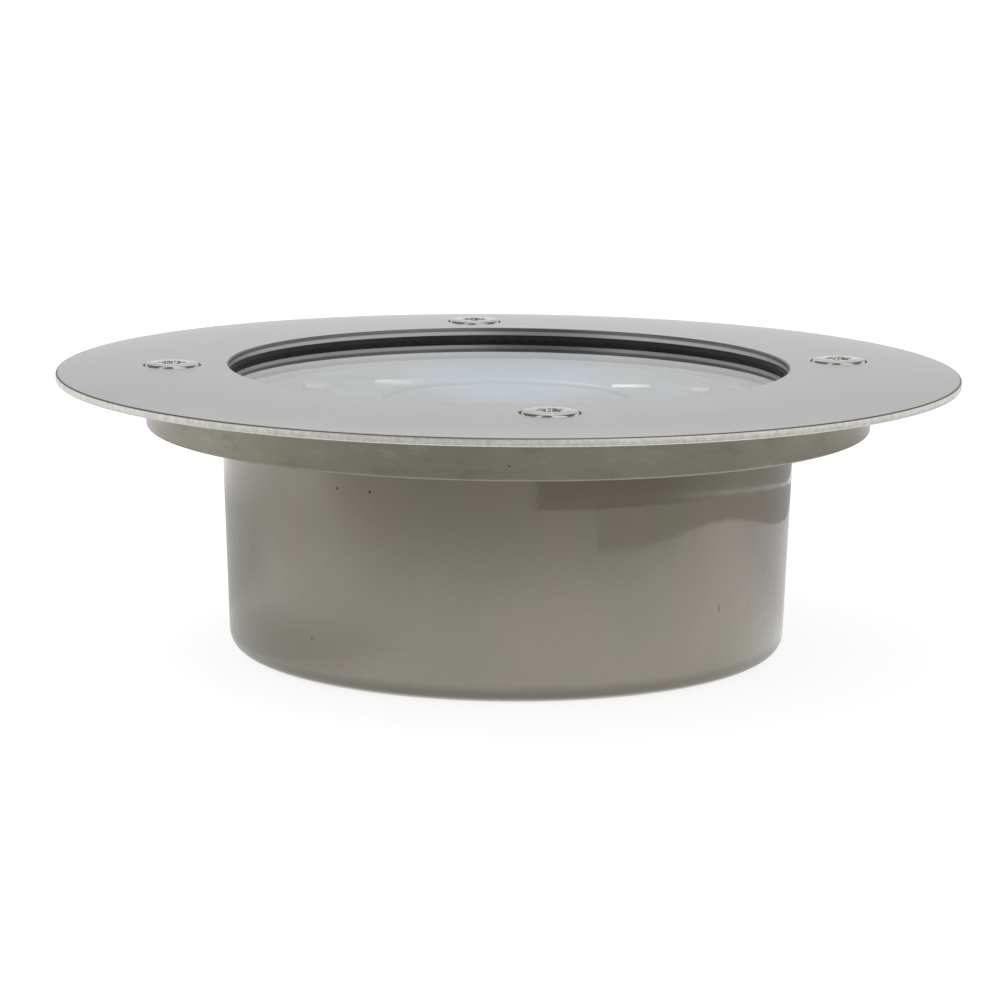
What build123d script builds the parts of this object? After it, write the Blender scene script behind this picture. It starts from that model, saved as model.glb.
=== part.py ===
from build123d import *
from math import cos, radians, sin
import os

# In ground well light, in millimetres. +Z up, origin at the middle of the flat bottom.
# The front of the light is towards -Y, and the cable gland is on the rear wall, towards +Y.

# overall
overall_height = 47.7

# face plate: a sheet disc, flat over the flange and dished down a little at its rim
plate_diameter = 150.0
plate_thickness = 1.3
plate_rim_drop = 0.95
plate_edge_round = 0.35
window_inset_on_glass = 3.4
window_edge_round = 0.3

# face screws: M5, raised countersunk, star drive
screw_count = 4
screw_inset_on_flange = 4.3
screw_start_angle = 6.5
screw_diameter = 5.0
screw_length = 8.0
screw_head_diameter = 9.0
screw_head_edge = 0.15
screw_head_dome = 0.75
screw_head_below_plate = 0.1
screw_end_chamfer = 0.5
star_drive_depth = 1.9
star_drive_core_radius = 1.6
star_lobe_radius = 0.5
star_lobe_offset = 1.72
star_lobe_count = 6
countersink_angle = 90.0
countersink_gap = 0.35
screw_hole_depth = 7.2
running_clearance = 0.06

# glass and its rubber channel
glass_diameter = 100.0
glass_thickness = 5.0
glass_edge_chamfer = 0.4
seal_upper_lip = 0.9
seal_lower_lip = 0.8
seal_wall = 1.4
seal_lip_setback = 0.15
seal_recess_clearance = 0.1

# housing: a cast can, and the turned flange pressed and brazed round its top
flange_diameter = 120.4
flange_height = 8.6
flange_lower_round = 0.9
flange_upper_chamfer = 0.3
can_top_diameter = 95.5
can_bottom_diameter = 92.8
can_corner_radius = 3.3
can_inner_corner_radius = 2.0
flange_joint_gap = 0.01
wall_thickness = 2.8
floor_thickness = 3.0

# posts cast on the floor of the can
board_post_count = 3
board_post_height = 2.5
board_post_radius = 2.6
board_post_circle = 56.0
board_post_start_angle = 30.0
carrier_post_spacing = 77.0
carrier_post_radius = 3.2
trim_post_count = 3
trim_post_circle = 77.0
trim_post_radius = 3.0
trim_post_start_angle = -90.0
trim_post_rib = 2.4
earth_post_angle = 60.0
earth_post_circle = 81.0
earth_post_radius = 3.4
earth_post_height = 9.0

# small pan head screws inside the can
small_screw_diameter = 2.5
small_screw_length = 5.0
small_screw_head_diameter = 4.7
small_screw_head_height = 1.6
small_screw_slot_length = 3.2
small_screw_slot_width = 0.7
small_screw_slot_depth = 0.8
small_screw_fit = 0.04

# lamp, from the glass downwards
lamp_gap_under_glass = 2.7
bezel_outer_diameter = 50.0
bezel_width = 4.5
bezel_height = 2.4
bezel_round = 0.8
diffuser_thickness = 1.5
diffuser_seat_width = 1.5
diffuser_side_gap = 0.2
trim_thickness = 1.0
trim_wall_gap = 1.0
trim_rim_height = 2.0
reflector_bottom_radius = 7.0
reflector_wall = 0.8
reflector_belly_share = 0.09
reflector_flange_inset = 0.5
led_board_diameter = 36.0
led_board_thickness = 1.6
led_board_screw_inset = 3.0
led_board_screw_end = 0.6
emitter_dam_radius = 5.6
emitter_dam_width = 0.8
emitter_dam_height = 0.7
emitter_phosphor_height = 0.5
thermal_pad_thickness = 0.5
heat_sink_diameter = 48.0
heat_sink_base = 2.5
heat_sink_fin_height = 3.5
heat_sink_fin_thickness = 1.2
heat_sink_fin_pitch = 4.0
heat_sink_above_transformer = 1.2
carrier_thickness = 1.2
carrier_width = 16.0
carrier_end_radius = 5.0

# driver board and what stands on it
board_diameter = 68.0
board_thickness = 1.6
transformer_length = 13.0
transformer_width = 11.0
transformer_height = 7.0
transformer_x = 0.0
transformer_y = -18.5
transformer_core_width = 5.0
transformer_bobbin_gap = 0.8
transformer_winding_round = 1.2
capacitor_diameter = 6.3
capacitor_height = 11.0
capacitor_spacing = 16.0
capacitor_y = -28.2
capacitor_rim_round = 0.5
capacitor_groove_depth = 0.3
capacitor_groove_width = 0.5
capacitor_groove_height = 1.2
choke_diameter = 8.0
choke_height = 6.0
choke_flange_height = 1.0
choke_core_diameter = 6.0
choke_x = 17.5
choke_y = -11.0
chip_height = 1.8
rectifier_size = (6.5, 4.6)
rectifier_place = (-17.5, -11.0)
controller_size = (5.0, 4.0)
controller_place = (-18.0, 3.0)
resistor_size = (3.2, 1.6)
resistor_places = [(-9.5, 17.0), (12.0, 14.5)]
fuse_size = (2.5, 6.4)
fuse_place = (20.0, 3.0)
terminal_poles = 3
terminal_pitch = 5.08
terminal_depth = 7.6
terminal_height = 10.0
terminal_y = 28.2
terminal_entry_radius = 1.5
terminal_entry_height = 3.4
terminal_entry_depth = 4.5
terminal_front_chamfer = 2.0
terminal_screw_diameter = 3.6
terminal_screw_depth = 2.2
terminal_screw_height = 1.4
terminal_screw_gap = 0.1

# leads
lead_radius = 0.7
lead_bend_radius = 1.6
lamp_lead_angle = -45.0
lamp_lead_spacing = 2.6
lamp_lead_beside_heat_sink = 3.0
lamp_lead_pad_radius = 15.4
lamp_lead_hump = 2.2
tag_thickness = 0.8
tag_outer_radius = 3.1
tag_barrel_radius = 1.3
tag_barrel_start = 2.6
tag_barrel_end = 6.6
earth_lead_inside_barrel = 1.6
earth_lead_reach = 10.2

# cable gland on the rear wall, M16 size, for an 8 mm round cable
gland_above_middle = 1.6
gland_pad_radius = 12.6
gland_pad_outside = 1.0
gland_pad_inside = 1.8
gland_thread_diameter = 16.0
gland_hole_clearance = 0.15
gland_washer_thickness = 1.2
gland_washer_diameter = 21.0
gland_hex = 20.0
gland_hex_thickness = 5.0
gland_inside_length = 10.0
gland_spigot_diameter = 17.0
gland_spigot_length = 6.0
gland_cable_clearance = 0.8
cable_diameter = 8.0
cable_seal_diameter = 13.0
cable_seal_length = 8.0
cable_seal_seat_depth = 5.0
cable_seal_side_gap = 0.05
cable_seal_chamfer = 1.0
gland_nut_start_gap = 0.4
gland_nut_length = 13.0
gland_nut_hex_length = 8.0
gland_nut_cavity_gap = 0.35
gland_nut_mouth_wall = 2.6
locknut_hex = 22.0
locknut_thickness = 3.0

# heights, worked out downwards from the plate
plate_top = overall_height
plate_under = plate_top - plate_thickness
glass_top = plate_under - seal_upper_lip
glass_under = glass_top - glass_thickness
ledge_height = glass_under - seal_lower_lip
flange_under = plate_under - flange_height
bezel_top = glass_under - lamp_gap_under_glass
trim_top = bezel_top - bezel_height
trim_under = trim_top - trim_thickness
gland_height = flange_under / 2 + gland_above_middle

# heights, worked out upwards from the floor
board_under = floor_thickness + board_post_height
board_top = board_under + board_thickness
earth_post_top = floor_thickness + earth_post_height
carrier_top = board_top + transformer_height + heat_sink_above_transformer
carrier_under = carrier_top - carrier_thickness
heat_sink_top = carrier_top + heat_sink_fin_height + heat_sink_base
led_board_under = heat_sink_top + thermal_pad_thickness
reflector_foot = led_board_under + led_board_thickness
led_board_top_to_carrier = reflector_foot - carrier_under
reflector_belly = reflector_belly_share * (trim_under - reflector_foot)

# radii and diameters
screw_circle = flange_diameter - 2 * screw_inset_on_flange
window_diameter = glass_diameter - 2 * window_inset_on_glass
bezel_opening = bezel_outer_diameter - 2 * bezel_width
reflector_flange_diameter = bezel_outer_diameter - 2 * reflector_flange_inset
led_board_screw_spacing = led_board_diameter - 2 * led_board_screw_inset
lamp_lead_rise_radius = heat_sink_diameter / 2 + lamp_lead_beside_heat_sink
plate_flat_radius = flange_diameter / 2 - flange_upper_chamfer
seal_radius = glass_diameter / 2 + seal_wall
recess_radius = seal_radius + seal_recess_clearance
screw_radius = screw_diameter / 2
screw_hole_radius = screw_radius + running_clearance
cable_radius = cable_diameter / 2
wall_draft = (can_top_diameter - can_bottom_diameter) / 2 / flange_under


def can_radius(height):
    """Outer radius of the drafted can wall at a height."""
    return can_bottom_diameter / 2 + wall_draft * height


def inner_radius(height):
    """Inner radius of the drafted can wall at a height."""
    return can_radius(height) - wall_thickness


same_size = 0.01


def rings(piece, radius, height):
    """Circular edges of a piece with that radius at that height."""
    circles = piece.edges().filter_by(GeomType.CIRCLE)
    return circles.filter_by(
        lambda edge: abs(edge.radius - radius) < same_size and abs(edge.arc_center.Z - height) < same_size
    )


def upright_plane(origin, angle):
    """Plane through a point, its local x along an angle round Z and its local y upwards."""
    outwards = Vector(cos(radians(angle)), sin(radians(angle)), 0)
    return Plane(origin=origin, x_dir=outwards, z_dir=outwards.cross(Vector(0, 0, 1)))


def on_circle(diameter, angle, height=0.0):
    """A point on a circle round the Z axis."""
    return (diameter / 2 * cos(radians(angle)), diameter / 2 * sin(radians(angle)), height)


rib_length = inner_radius(0) + wall_thickness / 2 - trim_post_circle / 2
trim_rim_radius = inner_radius(trim_under) - trim_wall_gap
earth_post = on_circle(earth_post_circle, earth_post_angle, earth_post_top)
gland_face = can_radius(gland_height) + gland_pad_outside
gland_inner_face = inner_radius(gland_height) - gland_pad_inside
gland_plane = Plane(origin=(0, gland_face, gland_height), x_dir=(1, 0, 0), z_dir=(0, 1, 0))
gland_thread_radius = gland_thread_diameter / 2
gland_hole_radius = gland_thread_radius + gland_hole_clearance
gland_pad_length = gland_face - gland_inner_face

os.makedirs("parts", exist_ok=True)

# housing
with BuildPart() as housing:
    with BuildSketch(Plane.XZ):
        with BuildLine():
            Polyline(
                (0, 0),
                (can_radius(0), 0),
                (can_radius(flange_under), flange_under),
                (can_radius(flange_under), ledge_height),
                (inner_radius(ledge_height), ledge_height),
                (inner_radius(floor_thickness), floor_thickness),
                (0, floor_thickness),
                close=True,
            )
        make_face()
    revolve(axis=Axis.Z)
    fillet(rings(housing, can_radius(0), 0), can_corner_radius)
    fillet(rings(housing, inner_radius(floor_thickness), floor_thickness), can_inner_corner_radius)

    # pads inside and outside the rear wall for the gland
    with BuildSketch(gland_plane):
        Circle(gland_pad_radius)
    extrude(amount=-gland_pad_length)

    # posts on the floor
    with BuildSketch(Plane.XY.offset(floor_thickness)):
        with PolarLocations(board_post_circle / 2, board_post_count, start_angle=board_post_start_angle):
            Circle(board_post_radius)
    extrude(amount=board_post_height)
    with BuildSketch(Plane.XY.offset(floor_thickness)):
        with GridLocations(carrier_post_spacing, 0, 2, 1):
            Circle(carrier_post_radius)
    extrude(amount=carrier_under - floor_thickness)
    with BuildSketch(Plane.XY.offset(floor_thickness)):
        with PolarLocations(trim_post_circle / 2, trim_post_count, start_angle=trim_post_start_angle):
            Circle(trim_post_radius)
            Rectangle(rib_length, trim_post_rib, align=(Align.MIN, Align.CENTER))
    extrude(amount=trim_under - floor_thickness)
    with BuildSketch(Plane.XY.offset(floor_thickness)):
        with Locations(earth_post[:2]):
            Circle(earth_post_radius)
    extrude(amount=earth_post_height)

    # holes
    with Locations(gland_plane):
        Hole(gland_hole_radius, depth=gland_pad_length)
    with Locations((0, 0, board_under)):
        with PolarLocations(board_post_circle / 2, board_post_count, start_angle=board_post_start_angle):
            Hole(small_screw_diameter / 2 + small_screw_fit, depth=small_screw_length - board_thickness)
    with Locations((0, 0, carrier_under)):
        with GridLocations(carrier_post_spacing, 0, 2, 1):
            Hole(small_screw_diameter / 2 + small_screw_fit, depth=small_screw_length)
    with Locations((0, 0, trim_under)):
        with PolarLocations(trim_post_circle / 2, trim_post_count, start_angle=trim_post_start_angle):
            Hole(small_screw_diameter / 2 + small_screw_fit, depth=small_screw_length)
    with Locations(earth_post):
        Hole(small_screw_diameter / 2 + small_screw_fit, depth=small_screw_length)
housing.part.label = "housing"
export_step(housing.part, "parts/housing.step")

# flange round the top of the can
with BuildPart() as seat_flange:
    flange_bore = can_radius(flange_under) + flange_joint_gap
    with BuildSketch(Plane.XZ):
        with BuildLine():
            Polyline(
                (flange_bore, flange_under),
                (flange_diameter / 2, flange_under),
                (flange_diameter / 2, plate_under),
                (recess_radius, plate_under),
                (recess_radius, ledge_height),
                (flange_bore, ledge_height),
                close=True,
            )
        make_face()
    revolve(axis=Axis.Z)
    fillet(rings(seat_flange, flange_diameter / 2, flange_under), flange_lower_round)
    chamfer(rings(seat_flange, flange_diameter / 2, plate_under), flange_upper_chamfer)
    with Locations((0, 0, plate_under)):
        with PolarLocations(screw_circle / 2, screw_count, start_angle=screw_start_angle):
            CounterSinkHole(
                screw_hole_radius,
                screw_head_diameter / 2 + countersink_gap - plate_thickness,
                depth=screw_hole_depth,
                counter_sink_angle=countersink_angle,
            )
seat_flange.part.label = "seat_flange"
export_step(seat_flange.part, "parts/seat_flange.step")

# face plate
with BuildPart() as face_plate:
    with BuildSketch(Plane.XZ):
        with BuildLine():
            window_side = Line((window_diameter / 2, plate_under), (window_diameter / 2, plate_top))
            top_flat = Line(window_side @ 1, (plate_flat_radius, plate_top))
            top_dish = TangentArc(
                top_flat @ 1, (plate_diameter / 2, plate_top - plate_rim_drop), tangent=top_flat % 1
            )
            rim_side = Line(top_dish @ 1, (plate_diameter / 2, plate_under - plate_rim_drop))
            under_dish = TangentArc(
                (plate_flat_radius, plate_under), rim_side @ 1, tangent=(1, 0)
            )
            Line(under_dish @ 0, window_side @ 0)
        make_face()
    revolve(axis=Axis.Z)
    fillet(rings(face_plate, plate_diameter / 2, plate_top - plate_rim_drop), plate_edge_round)
    fillet(rings(face_plate, plate_diameter / 2, plate_under - plate_rim_drop), plate_edge_round)
    fillet(rings(face_plate, window_diameter / 2, plate_top), window_edge_round)
    with Locations((0, 0, plate_top)):
        with PolarLocations(screw_circle / 2, screw_count, start_angle=screw_start_angle):
            CounterSinkHole(
                screw_head_diameter / 2 + countersink_gap - plate_thickness,
                screw_head_diameter / 2 + countersink_gap,
                depth=2 * plate_thickness,
                counter_sink_angle=countersink_angle,
            )
face_plate.part.label = "face_plate"
export_step(face_plate.part, "parts/face_plate.step")

# rubber channel and glass
with BuildPart() as glass_seal:
    lip_radius = window_diameter / 2 + seal_lip_setback
    with BuildSketch(Plane.XZ):
        with BuildLine():
            Polyline(
                (lip_radius, plate_under),
                (seal_radius, plate_under),
                (seal_radius, ledge_height),
                (lip_radius, ledge_height),
                (lip_radius, glass_under),
                (glass_diameter / 2, glass_under),
                (glass_diameter / 2, glass_top),
                (lip_radius, glass_top),
                close=True,
            )
        make_face()
    revolve(axis=Axis.Z)
glass_seal.part.label = "glass_seal"
export_step(glass_seal.part, "parts/glass_seal.step")

with BuildPart() as glass_lens:
    with BuildSketch(Plane.XY.offset(glass_under)):
        Circle(glass_diameter / 2)
    extrude(amount=glass_thickness)
    chamfer(glass_lens.edges().filter_by(GeomType.CIRCLE), glass_edge_chamfer)
glass_lens.part.label = "glass_lens"
export_step(glass_lens.part, "parts/glass_lens.step")

# face screws
# One screw, its head's edge at height 0, which each of the four repeats.
with BuildPart() as screw_model:
    head_radius = screw_head_diameter / 2
    head_cone = head_radius - screw_radius
    with BuildSketch(Plane.XZ):
        with BuildLine():
            TangentArc((0, screw_head_dome), (head_radius, 0), tangent=(1, 0))
            Polyline(
                (head_radius, 0),
                (head_radius, -screw_head_edge),
                (screw_radius, -screw_head_edge - head_cone),
                (screw_radius, -screw_length + screw_end_chamfer),
                (screw_radius - screw_end_chamfer, -screw_length),
                (0, -screw_length),
                (0, screw_head_dome),
            )
        make_face()
    revolve(axis=Axis.Z)
    with BuildSketch(Plane.XY.offset(screw_head_dome - star_drive_depth)):
        Circle(star_drive_core_radius)
        with PolarLocations(star_lobe_offset, star_lobe_count):
            Circle(star_lobe_radius)
    extrude(amount=2 * star_drive_depth, mode=Mode.SUBTRACT)

screw_height = plate_top - screw_head_below_plate
screw_names = ["face_screw_right", "face_screw_back", "face_screw_left", "face_screw_front"]
for index, screw_name in enumerate(screw_names):
    screw_angle = screw_start_angle + index * 360 / screw_count
    with BuildPart() as face_screw:
        with Locations(Location(on_circle(screw_circle, screw_angle, screw_height))):
            add(screw_model.part)
    face_screw.part.label = screw_name
    export_step(face_screw.part, f"parts/{screw_name}.step")

# small screws
def pan_head_screw(length):
    """A small cross slot screw with a pan head, its head's underside at height 0."""
    with BuildPart() as screw:
        with BuildSketch(Plane.XY):
            Circle(small_screw_diameter / 2)
        extrude(amount=-length)
        with BuildSketch(Plane.XY):
            Circle(small_screw_head_diameter / 2)
        extrude(amount=small_screw_head_height)
        head_rim = rings(screw, small_screw_head_diameter / 2, small_screw_head_height)
        fillet(head_rim, small_screw_head_height / 2)
        with BuildSketch(Plane.XY.offset(small_screw_head_height)):
            Rectangle(small_screw_slot_length, small_screw_slot_width)
            Rectangle(small_screw_slot_width, small_screw_slot_length)
        extrude(amount=-small_screw_slot_depth, mode=Mode.SUBTRACT)
    return screw.part


small_screw = pan_head_screw(small_screw_length - small_screw_fit)
led_screw = pan_head_screw(led_board_top_to_carrier + led_board_screw_end)

# trim disc under the glass
with BuildPart() as inner_trim:
    with BuildSketch(Plane.XZ):
        with BuildLine():
            Polyline(
                (bezel_opening / 2, trim_under),
                (trim_rim_radius, trim_under),
                (trim_rim_radius, trim_top + trim_rim_height),
                (trim_rim_radius - trim_thickness, trim_top + trim_rim_height),
                (trim_rim_radius - trim_thickness, trim_top),
                (bezel_opening / 2, trim_top),
                close=True,
            )
        make_face()
    revolve(axis=Axis.Z)
    fillet(rings(inner_trim, trim_rim_radius - trim_thickness, trim_top), trim_thickness / 2)
    fillet(rings(inner_trim, trim_rim_radius, trim_under), trim_thickness)
    with Locations((0, 0, trim_top)):
        with PolarLocations(trim_post_circle / 2, trim_post_count, start_angle=trim_post_start_angle):
            Hole(small_screw_diameter / 2 + small_screw_fit, depth=trim_thickness)
inner_trim.part.label = "inner_trim"
export_step(inner_trim.part, "parts/inner_trim.step")

with BuildPart() as trim_screws:
    with Locations((0, 0, trim_top)):
        with PolarLocations(trim_post_circle / 2, trim_post_count, start_angle=trim_post_start_angle):
            add(small_screw)
trim_screws.part.label = "trim_screws"
export_step(trim_screws.part, "parts/trim_screws.step")

# lamp
with BuildPart() as lamp_bezel:
    diffuser_seat_radius = bezel_opening / 2 + diffuser_seat_width
    with BuildSketch(Plane.XZ):
        with BuildLine():
            Polyline(
                (diffuser_seat_radius, trim_top),
                (bezel_outer_diameter / 2, trim_top),
                (bezel_outer_diameter / 2, bezel_top),
                (bezel_opening / 2, bezel_top),
                (bezel_opening / 2, trim_top + diffuser_thickness),
                (diffuser_seat_radius, trim_top + diffuser_thickness),
                close=True,
            )
        make_face()
    revolve(axis=Axis.Z)
    fillet(rings(lamp_bezel, bezel_outer_diameter / 2, bezel_top), bezel_round)
    chamfer(rings(lamp_bezel, bezel_opening / 2, bezel_top), bezel_round / 2)
lamp_bezel.part.label = "lamp_bezel"
export_step(lamp_bezel.part, "parts/lamp_bezel.step")

with BuildPart() as lamp_diffuser:
    with BuildSketch(Plane.XY.offset(trim_top)):
        Circle(diffuser_seat_radius - diffuser_side_gap)
    extrude(amount=diffuser_thickness)
lamp_diffuser.part.label = "lamp_diffuser"
export_step(lamp_diffuser.part, "parts/lamp_diffuser.step")

with BuildPart() as lamp_reflector:
    with BuildSketch(Plane.XZ):
        with BuildLine():
            foot_in = (reflector_bottom_radius, reflector_foot)
            foot_out = (reflector_bottom_radius + reflector_wall, reflector_foot)
            mouth_in = (bezel_opening / 2, trim_under)
            mouth_out = (bezel_opening / 2 + reflector_wall, trim_under - reflector_wall)
            SagittaArc(foot_in, mouth_in, -reflector_belly)
            Polyline(
                mouth_in,
                (reflector_flange_diameter / 2, trim_under),
                (reflector_flange_diameter / 2, trim_under - reflector_wall),
                mouth_out,
            )
            SagittaArc(mouth_out, foot_out, reflector_belly)
            Line(foot_out, foot_in)
        make_face()
    revolve(axis=Axis.Z)
lamp_reflector.part.label = "lamp_reflector"
export_step(lamp_reflector.part, "parts/lamp_reflector.step")

with BuildPart() as led_board:
    with BuildSketch(Plane.XY.offset(led_board_under)):
        Circle(led_board_diameter / 2)
        with GridLocations(led_board_screw_spacing, 0, 2, 1):
            Circle(small_screw_diameter / 2 + small_screw_fit, mode=Mode.SUBTRACT)
    extrude(amount=led_board_thickness)
led_board.part.label = "led_board"
export_step(led_board.part, "parts/led_board.step")

with BuildPart() as led_emitter:
    with BuildSketch(Plane.XY.offset(reflector_foot)):
        Circle(emitter_dam_radius)
    extrude(amount=emitter_dam_height)
    with BuildSketch(Plane.XY.offset(reflector_foot + emitter_dam_height)):
        Circle(emitter_dam_radius - emitter_dam_width)
    extrude(amount=emitter_phosphor_height - emitter_dam_height, mode=Mode.SUBTRACT)
led_emitter.part.label = "led_emitter"
export_step(led_emitter.part, "parts/led_emitter.step")

with BuildPart() as thermal_pad:
    with BuildSketch(Plane.XY.offset(heat_sink_top)):
        Circle(led_board_diameter / 2)
        with GridLocations(led_board_screw_spacing, 0, 2, 1):
            Circle(small_screw_diameter / 2 + small_screw_fit, mode=Mode.SUBTRACT)
    extrude(amount=thermal_pad_thickness)
thermal_pad.part.label = "thermal_pad"
export_step(thermal_pad.part, "parts/thermal_pad.step")

with BuildPart() as heat_sink:
    fin_count = int((heat_sink_diameter - heat_sink_fin_thickness) // heat_sink_fin_pitch)
    fin_count -= (fin_count + 1) % 2
    with BuildSketch(Plane.XY.offset(heat_sink_top)):
        Circle(heat_sink_diameter / 2)
    extrude(amount=-heat_sink_base)
    with BuildSketch(Plane.XY.offset(heat_sink_top - heat_sink_base)):
        with GridLocations(0, heat_sink_fin_pitch, 1, fin_count):
            Rectangle(heat_sink_diameter, heat_sink_fin_thickness)
        Circle(heat_sink_diameter / 2, mode=Mode.INTERSECT)
    extrude(amount=-heat_sink_fin_height)
    with Locations((0, 0, heat_sink_top)):
        with GridLocations(led_board_screw_spacing, 0, 2, 1):
            Hole(small_screw_diameter / 2 + small_screw_fit, depth=heat_sink_base + heat_sink_fin_height)
heat_sink.part.label = "heat_sink"
export_step(heat_sink.part, "parts/heat_sink.step")

with BuildPart() as led_board_screws:
    with Locations((0, 0, reflector_foot)):
        with GridLocations(led_board_screw_spacing, 0, 2, 1):
            add(led_screw)
led_board_screws.part.label = "led_board_screws"
export_step(led_board_screws.part, "parts/led_board_screws.step")

# carrier strap
with BuildPart() as carrier_strap:
    with BuildSketch(Plane.XY.offset(carrier_under)):
        Rectangle(carrier_post_spacing, carrier_width)
        with GridLocations(carrier_post_spacing, 0, 2, 1):
            Circle(carrier_end_radius)
            Circle(small_screw_diameter / 2 + small_screw_fit, mode=Mode.SUBTRACT)
        with GridLocations(led_board_screw_spacing, 0, 2, 1):
            Circle(small_screw_diameter / 2 + small_screw_fit, mode=Mode.SUBTRACT)
    extrude(amount=carrier_thickness)
carrier_strap.part.label = "carrier_strap"
export_step(carrier_strap.part, "parts/carrier_strap.step")

with BuildPart() as carrier_screws:
    with Locations((0, 0, carrier_top)):
        with GridLocations(carrier_post_spacing, 0, 2, 1):
            add(small_screw)
carrier_screws.part.label = "carrier_screws"
export_step(carrier_screws.part, "parts/carrier_screws.step")

# driver
with BuildPart() as driver_board:
    with BuildSketch(Plane.XY.offset(board_under)):
        Circle(board_diameter / 2)
        with PolarLocations(board_post_circle / 2, board_post_count, start_angle=board_post_start_angle):
            Circle(small_screw_diameter / 2 + small_screw_fit, mode=Mode.SUBTRACT)
    extrude(amount=board_thickness)
driver_board.part.label = "driver_board"
export_step(driver_board.part, "parts/driver_board.step")

with BuildPart() as driver_board_screws:
    with Locations((0, 0, board_top)):
        with PolarLocations(board_post_circle / 2, board_post_count, start_angle=board_post_start_angle):
            add(small_screw)
driver_board_screws.part.label = "driver_board_screws"
export_step(driver_board_screws.part, "parts/driver_board_screws.step")

with BuildPart() as driver_transformer:
    winding_width = transformer_width - 2 * transformer_bobbin_gap
    winding_length = transformer_length - 2 * transformer_bobbin_gap
    winding_height = transformer_height - 2 * transformer_bobbin_gap
    with BuildSketch(Plane.XY.offset(board_top)):
        with Locations((transformer_x, transformer_y)):
            Rectangle(transformer_length, transformer_width)
    extrude(amount=transformer_bobbin_gap)
    with BuildSketch(Plane.XY.offset(board_top + transformer_bobbin_gap)):
        with Locations((transformer_x, transformer_y)):
            RectangleRounded(winding_length, winding_width, transformer_winding_round)
    extrude(amount=winding_height)
    with BuildSketch(Plane.XY.offset(board_top + transformer_bobbin_gap)):
        with Locations((transformer_x, transformer_y)):
            Rectangle(transformer_core_width, transformer_width)
    extrude(amount=transformer_height - transformer_bobbin_gap)
driver_transformer.part.label = "driver_transformer"
export_step(driver_transformer.part, "parts/driver_transformer.step")

with BuildPart() as driver_capacitors:
    with BuildSketch(Plane.XY.offset(board_top)):
        with Locations((0, capacitor_y)):
            with GridLocations(capacitor_spacing, 0, 2, 1):
                Circle(capacitor_diameter / 2)
    extrude(amount=capacitor_height)
    can_rims = rings(driver_capacitors, capacitor_diameter / 2, board_top + capacitor_height)
    fillet(can_rims, capacitor_rim_round)
    with BuildSketch(Plane.XY.offset(board_top + capacitor_groove_height)):
        with Locations((0, capacitor_y)):
            with GridLocations(capacitor_spacing, 0, 2, 1):
                Circle(capacitor_diameter / 2)
                Circle(capacitor_diameter / 2 - capacitor_groove_depth, mode=Mode.SUBTRACT)
    extrude(amount=capacitor_groove_width, mode=Mode.SUBTRACT)
driver_capacitors.part.label = "driver_capacitors"
export_step(driver_capacitors.part, "parts/driver_capacitors.step")

with BuildPart() as driver_choke:
    with BuildSketch(Plane.XY.offset(board_top)):
        with Locations((choke_x, choke_y)):
            Circle(choke_diameter / 2)
    extrude(amount=choke_height)
    with BuildSketch(Plane.XY.offset(board_top + choke_flange_height)):
        with Locations((choke_x, choke_y)):
            Circle(choke_diameter / 2)
            Circle(choke_core_diameter / 2, mode=Mode.SUBTRACT)
    extrude(amount=choke_height - 2 * choke_flange_height, mode=Mode.SUBTRACT)
driver_choke.part.label = "driver_choke"
export_step(driver_choke.part, "parts/driver_choke.step")

# rectifier, controller, two resistors and a fuse
with BuildPart() as driver_parts:
    with BuildSketch(Plane.XY.offset(board_top)):
        with Locations(rectifier_place):
            Rectangle(*rectifier_size)
        with Locations(controller_place):
            Rectangle(*controller_size)
        with Locations(*resistor_places):
            Rectangle(*resistor_size)
        with Locations(fuse_place):
            Rectangle(*fuse_size)
    extrude(amount=chip_height)
driver_parts.part.label = "driver_parts"
export_step(driver_parts.part, "parts/driver_parts.step")

with BuildPart() as terminal_block:
    terminal_width = terminal_poles * terminal_pitch
    terminal_back = Plane(
        origin=(0, terminal_y + terminal_depth / 2, board_top + terminal_entry_height),
        x_dir=(1, 0, 0),
        z_dir=(0, 1, 0),
    )
    with BuildSketch(Plane.XY.offset(board_top)):
        with Locations((0, terminal_y)):
            Rectangle(terminal_width, terminal_depth)
    extrude(amount=terminal_height)
    top_edges = terminal_block.edges().filter_by(Axis.X).group_by(Axis.Z)[-1]
    chamfer(top_edges.sort_by(Axis.Y)[0], terminal_front_chamfer)
    with Locations(terminal_back):
        with GridLocations(terminal_pitch, 0, terminal_poles, 1):
            Hole(terminal_entry_radius, depth=terminal_entry_depth)
    with Locations((0, terminal_y, board_top + terminal_height)):
        with GridLocations(terminal_pitch, 0, terminal_poles, 1):
            Hole(terminal_screw_diameter / 2, depth=terminal_screw_depth)
terminal_block.part.label = "terminal_block"
export_step(terminal_block.part, "parts/terminal_block.step")

with BuildPart() as terminal_screws:
    terminal_screw_foot = board_top + terminal_height - terminal_screw_depth
    with BuildSketch(Plane.XY.offset(terminal_screw_foot)):
        with Locations((0, terminal_y)):
            with GridLocations(terminal_pitch, 0, terminal_poles, 1):
                Circle(terminal_screw_diameter / 2 - terminal_screw_gap)
    extrude(amount=terminal_screw_height)
    with BuildSketch(Plane.XY.offset(terminal_screw_foot + terminal_screw_height)):
        with Locations((0, terminal_y)):
            with GridLocations(terminal_pitch, 0, terminal_poles, 1):
                Rectangle(terminal_screw_diameter, small_screw_slot_width)
    extrude(amount=-small_screw_slot_depth, mode=Mode.SUBTRACT)
terminal_screws.part.label = "terminal_screws"
export_step(terminal_screws.part, "parts/terminal_screws.step")

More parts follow.
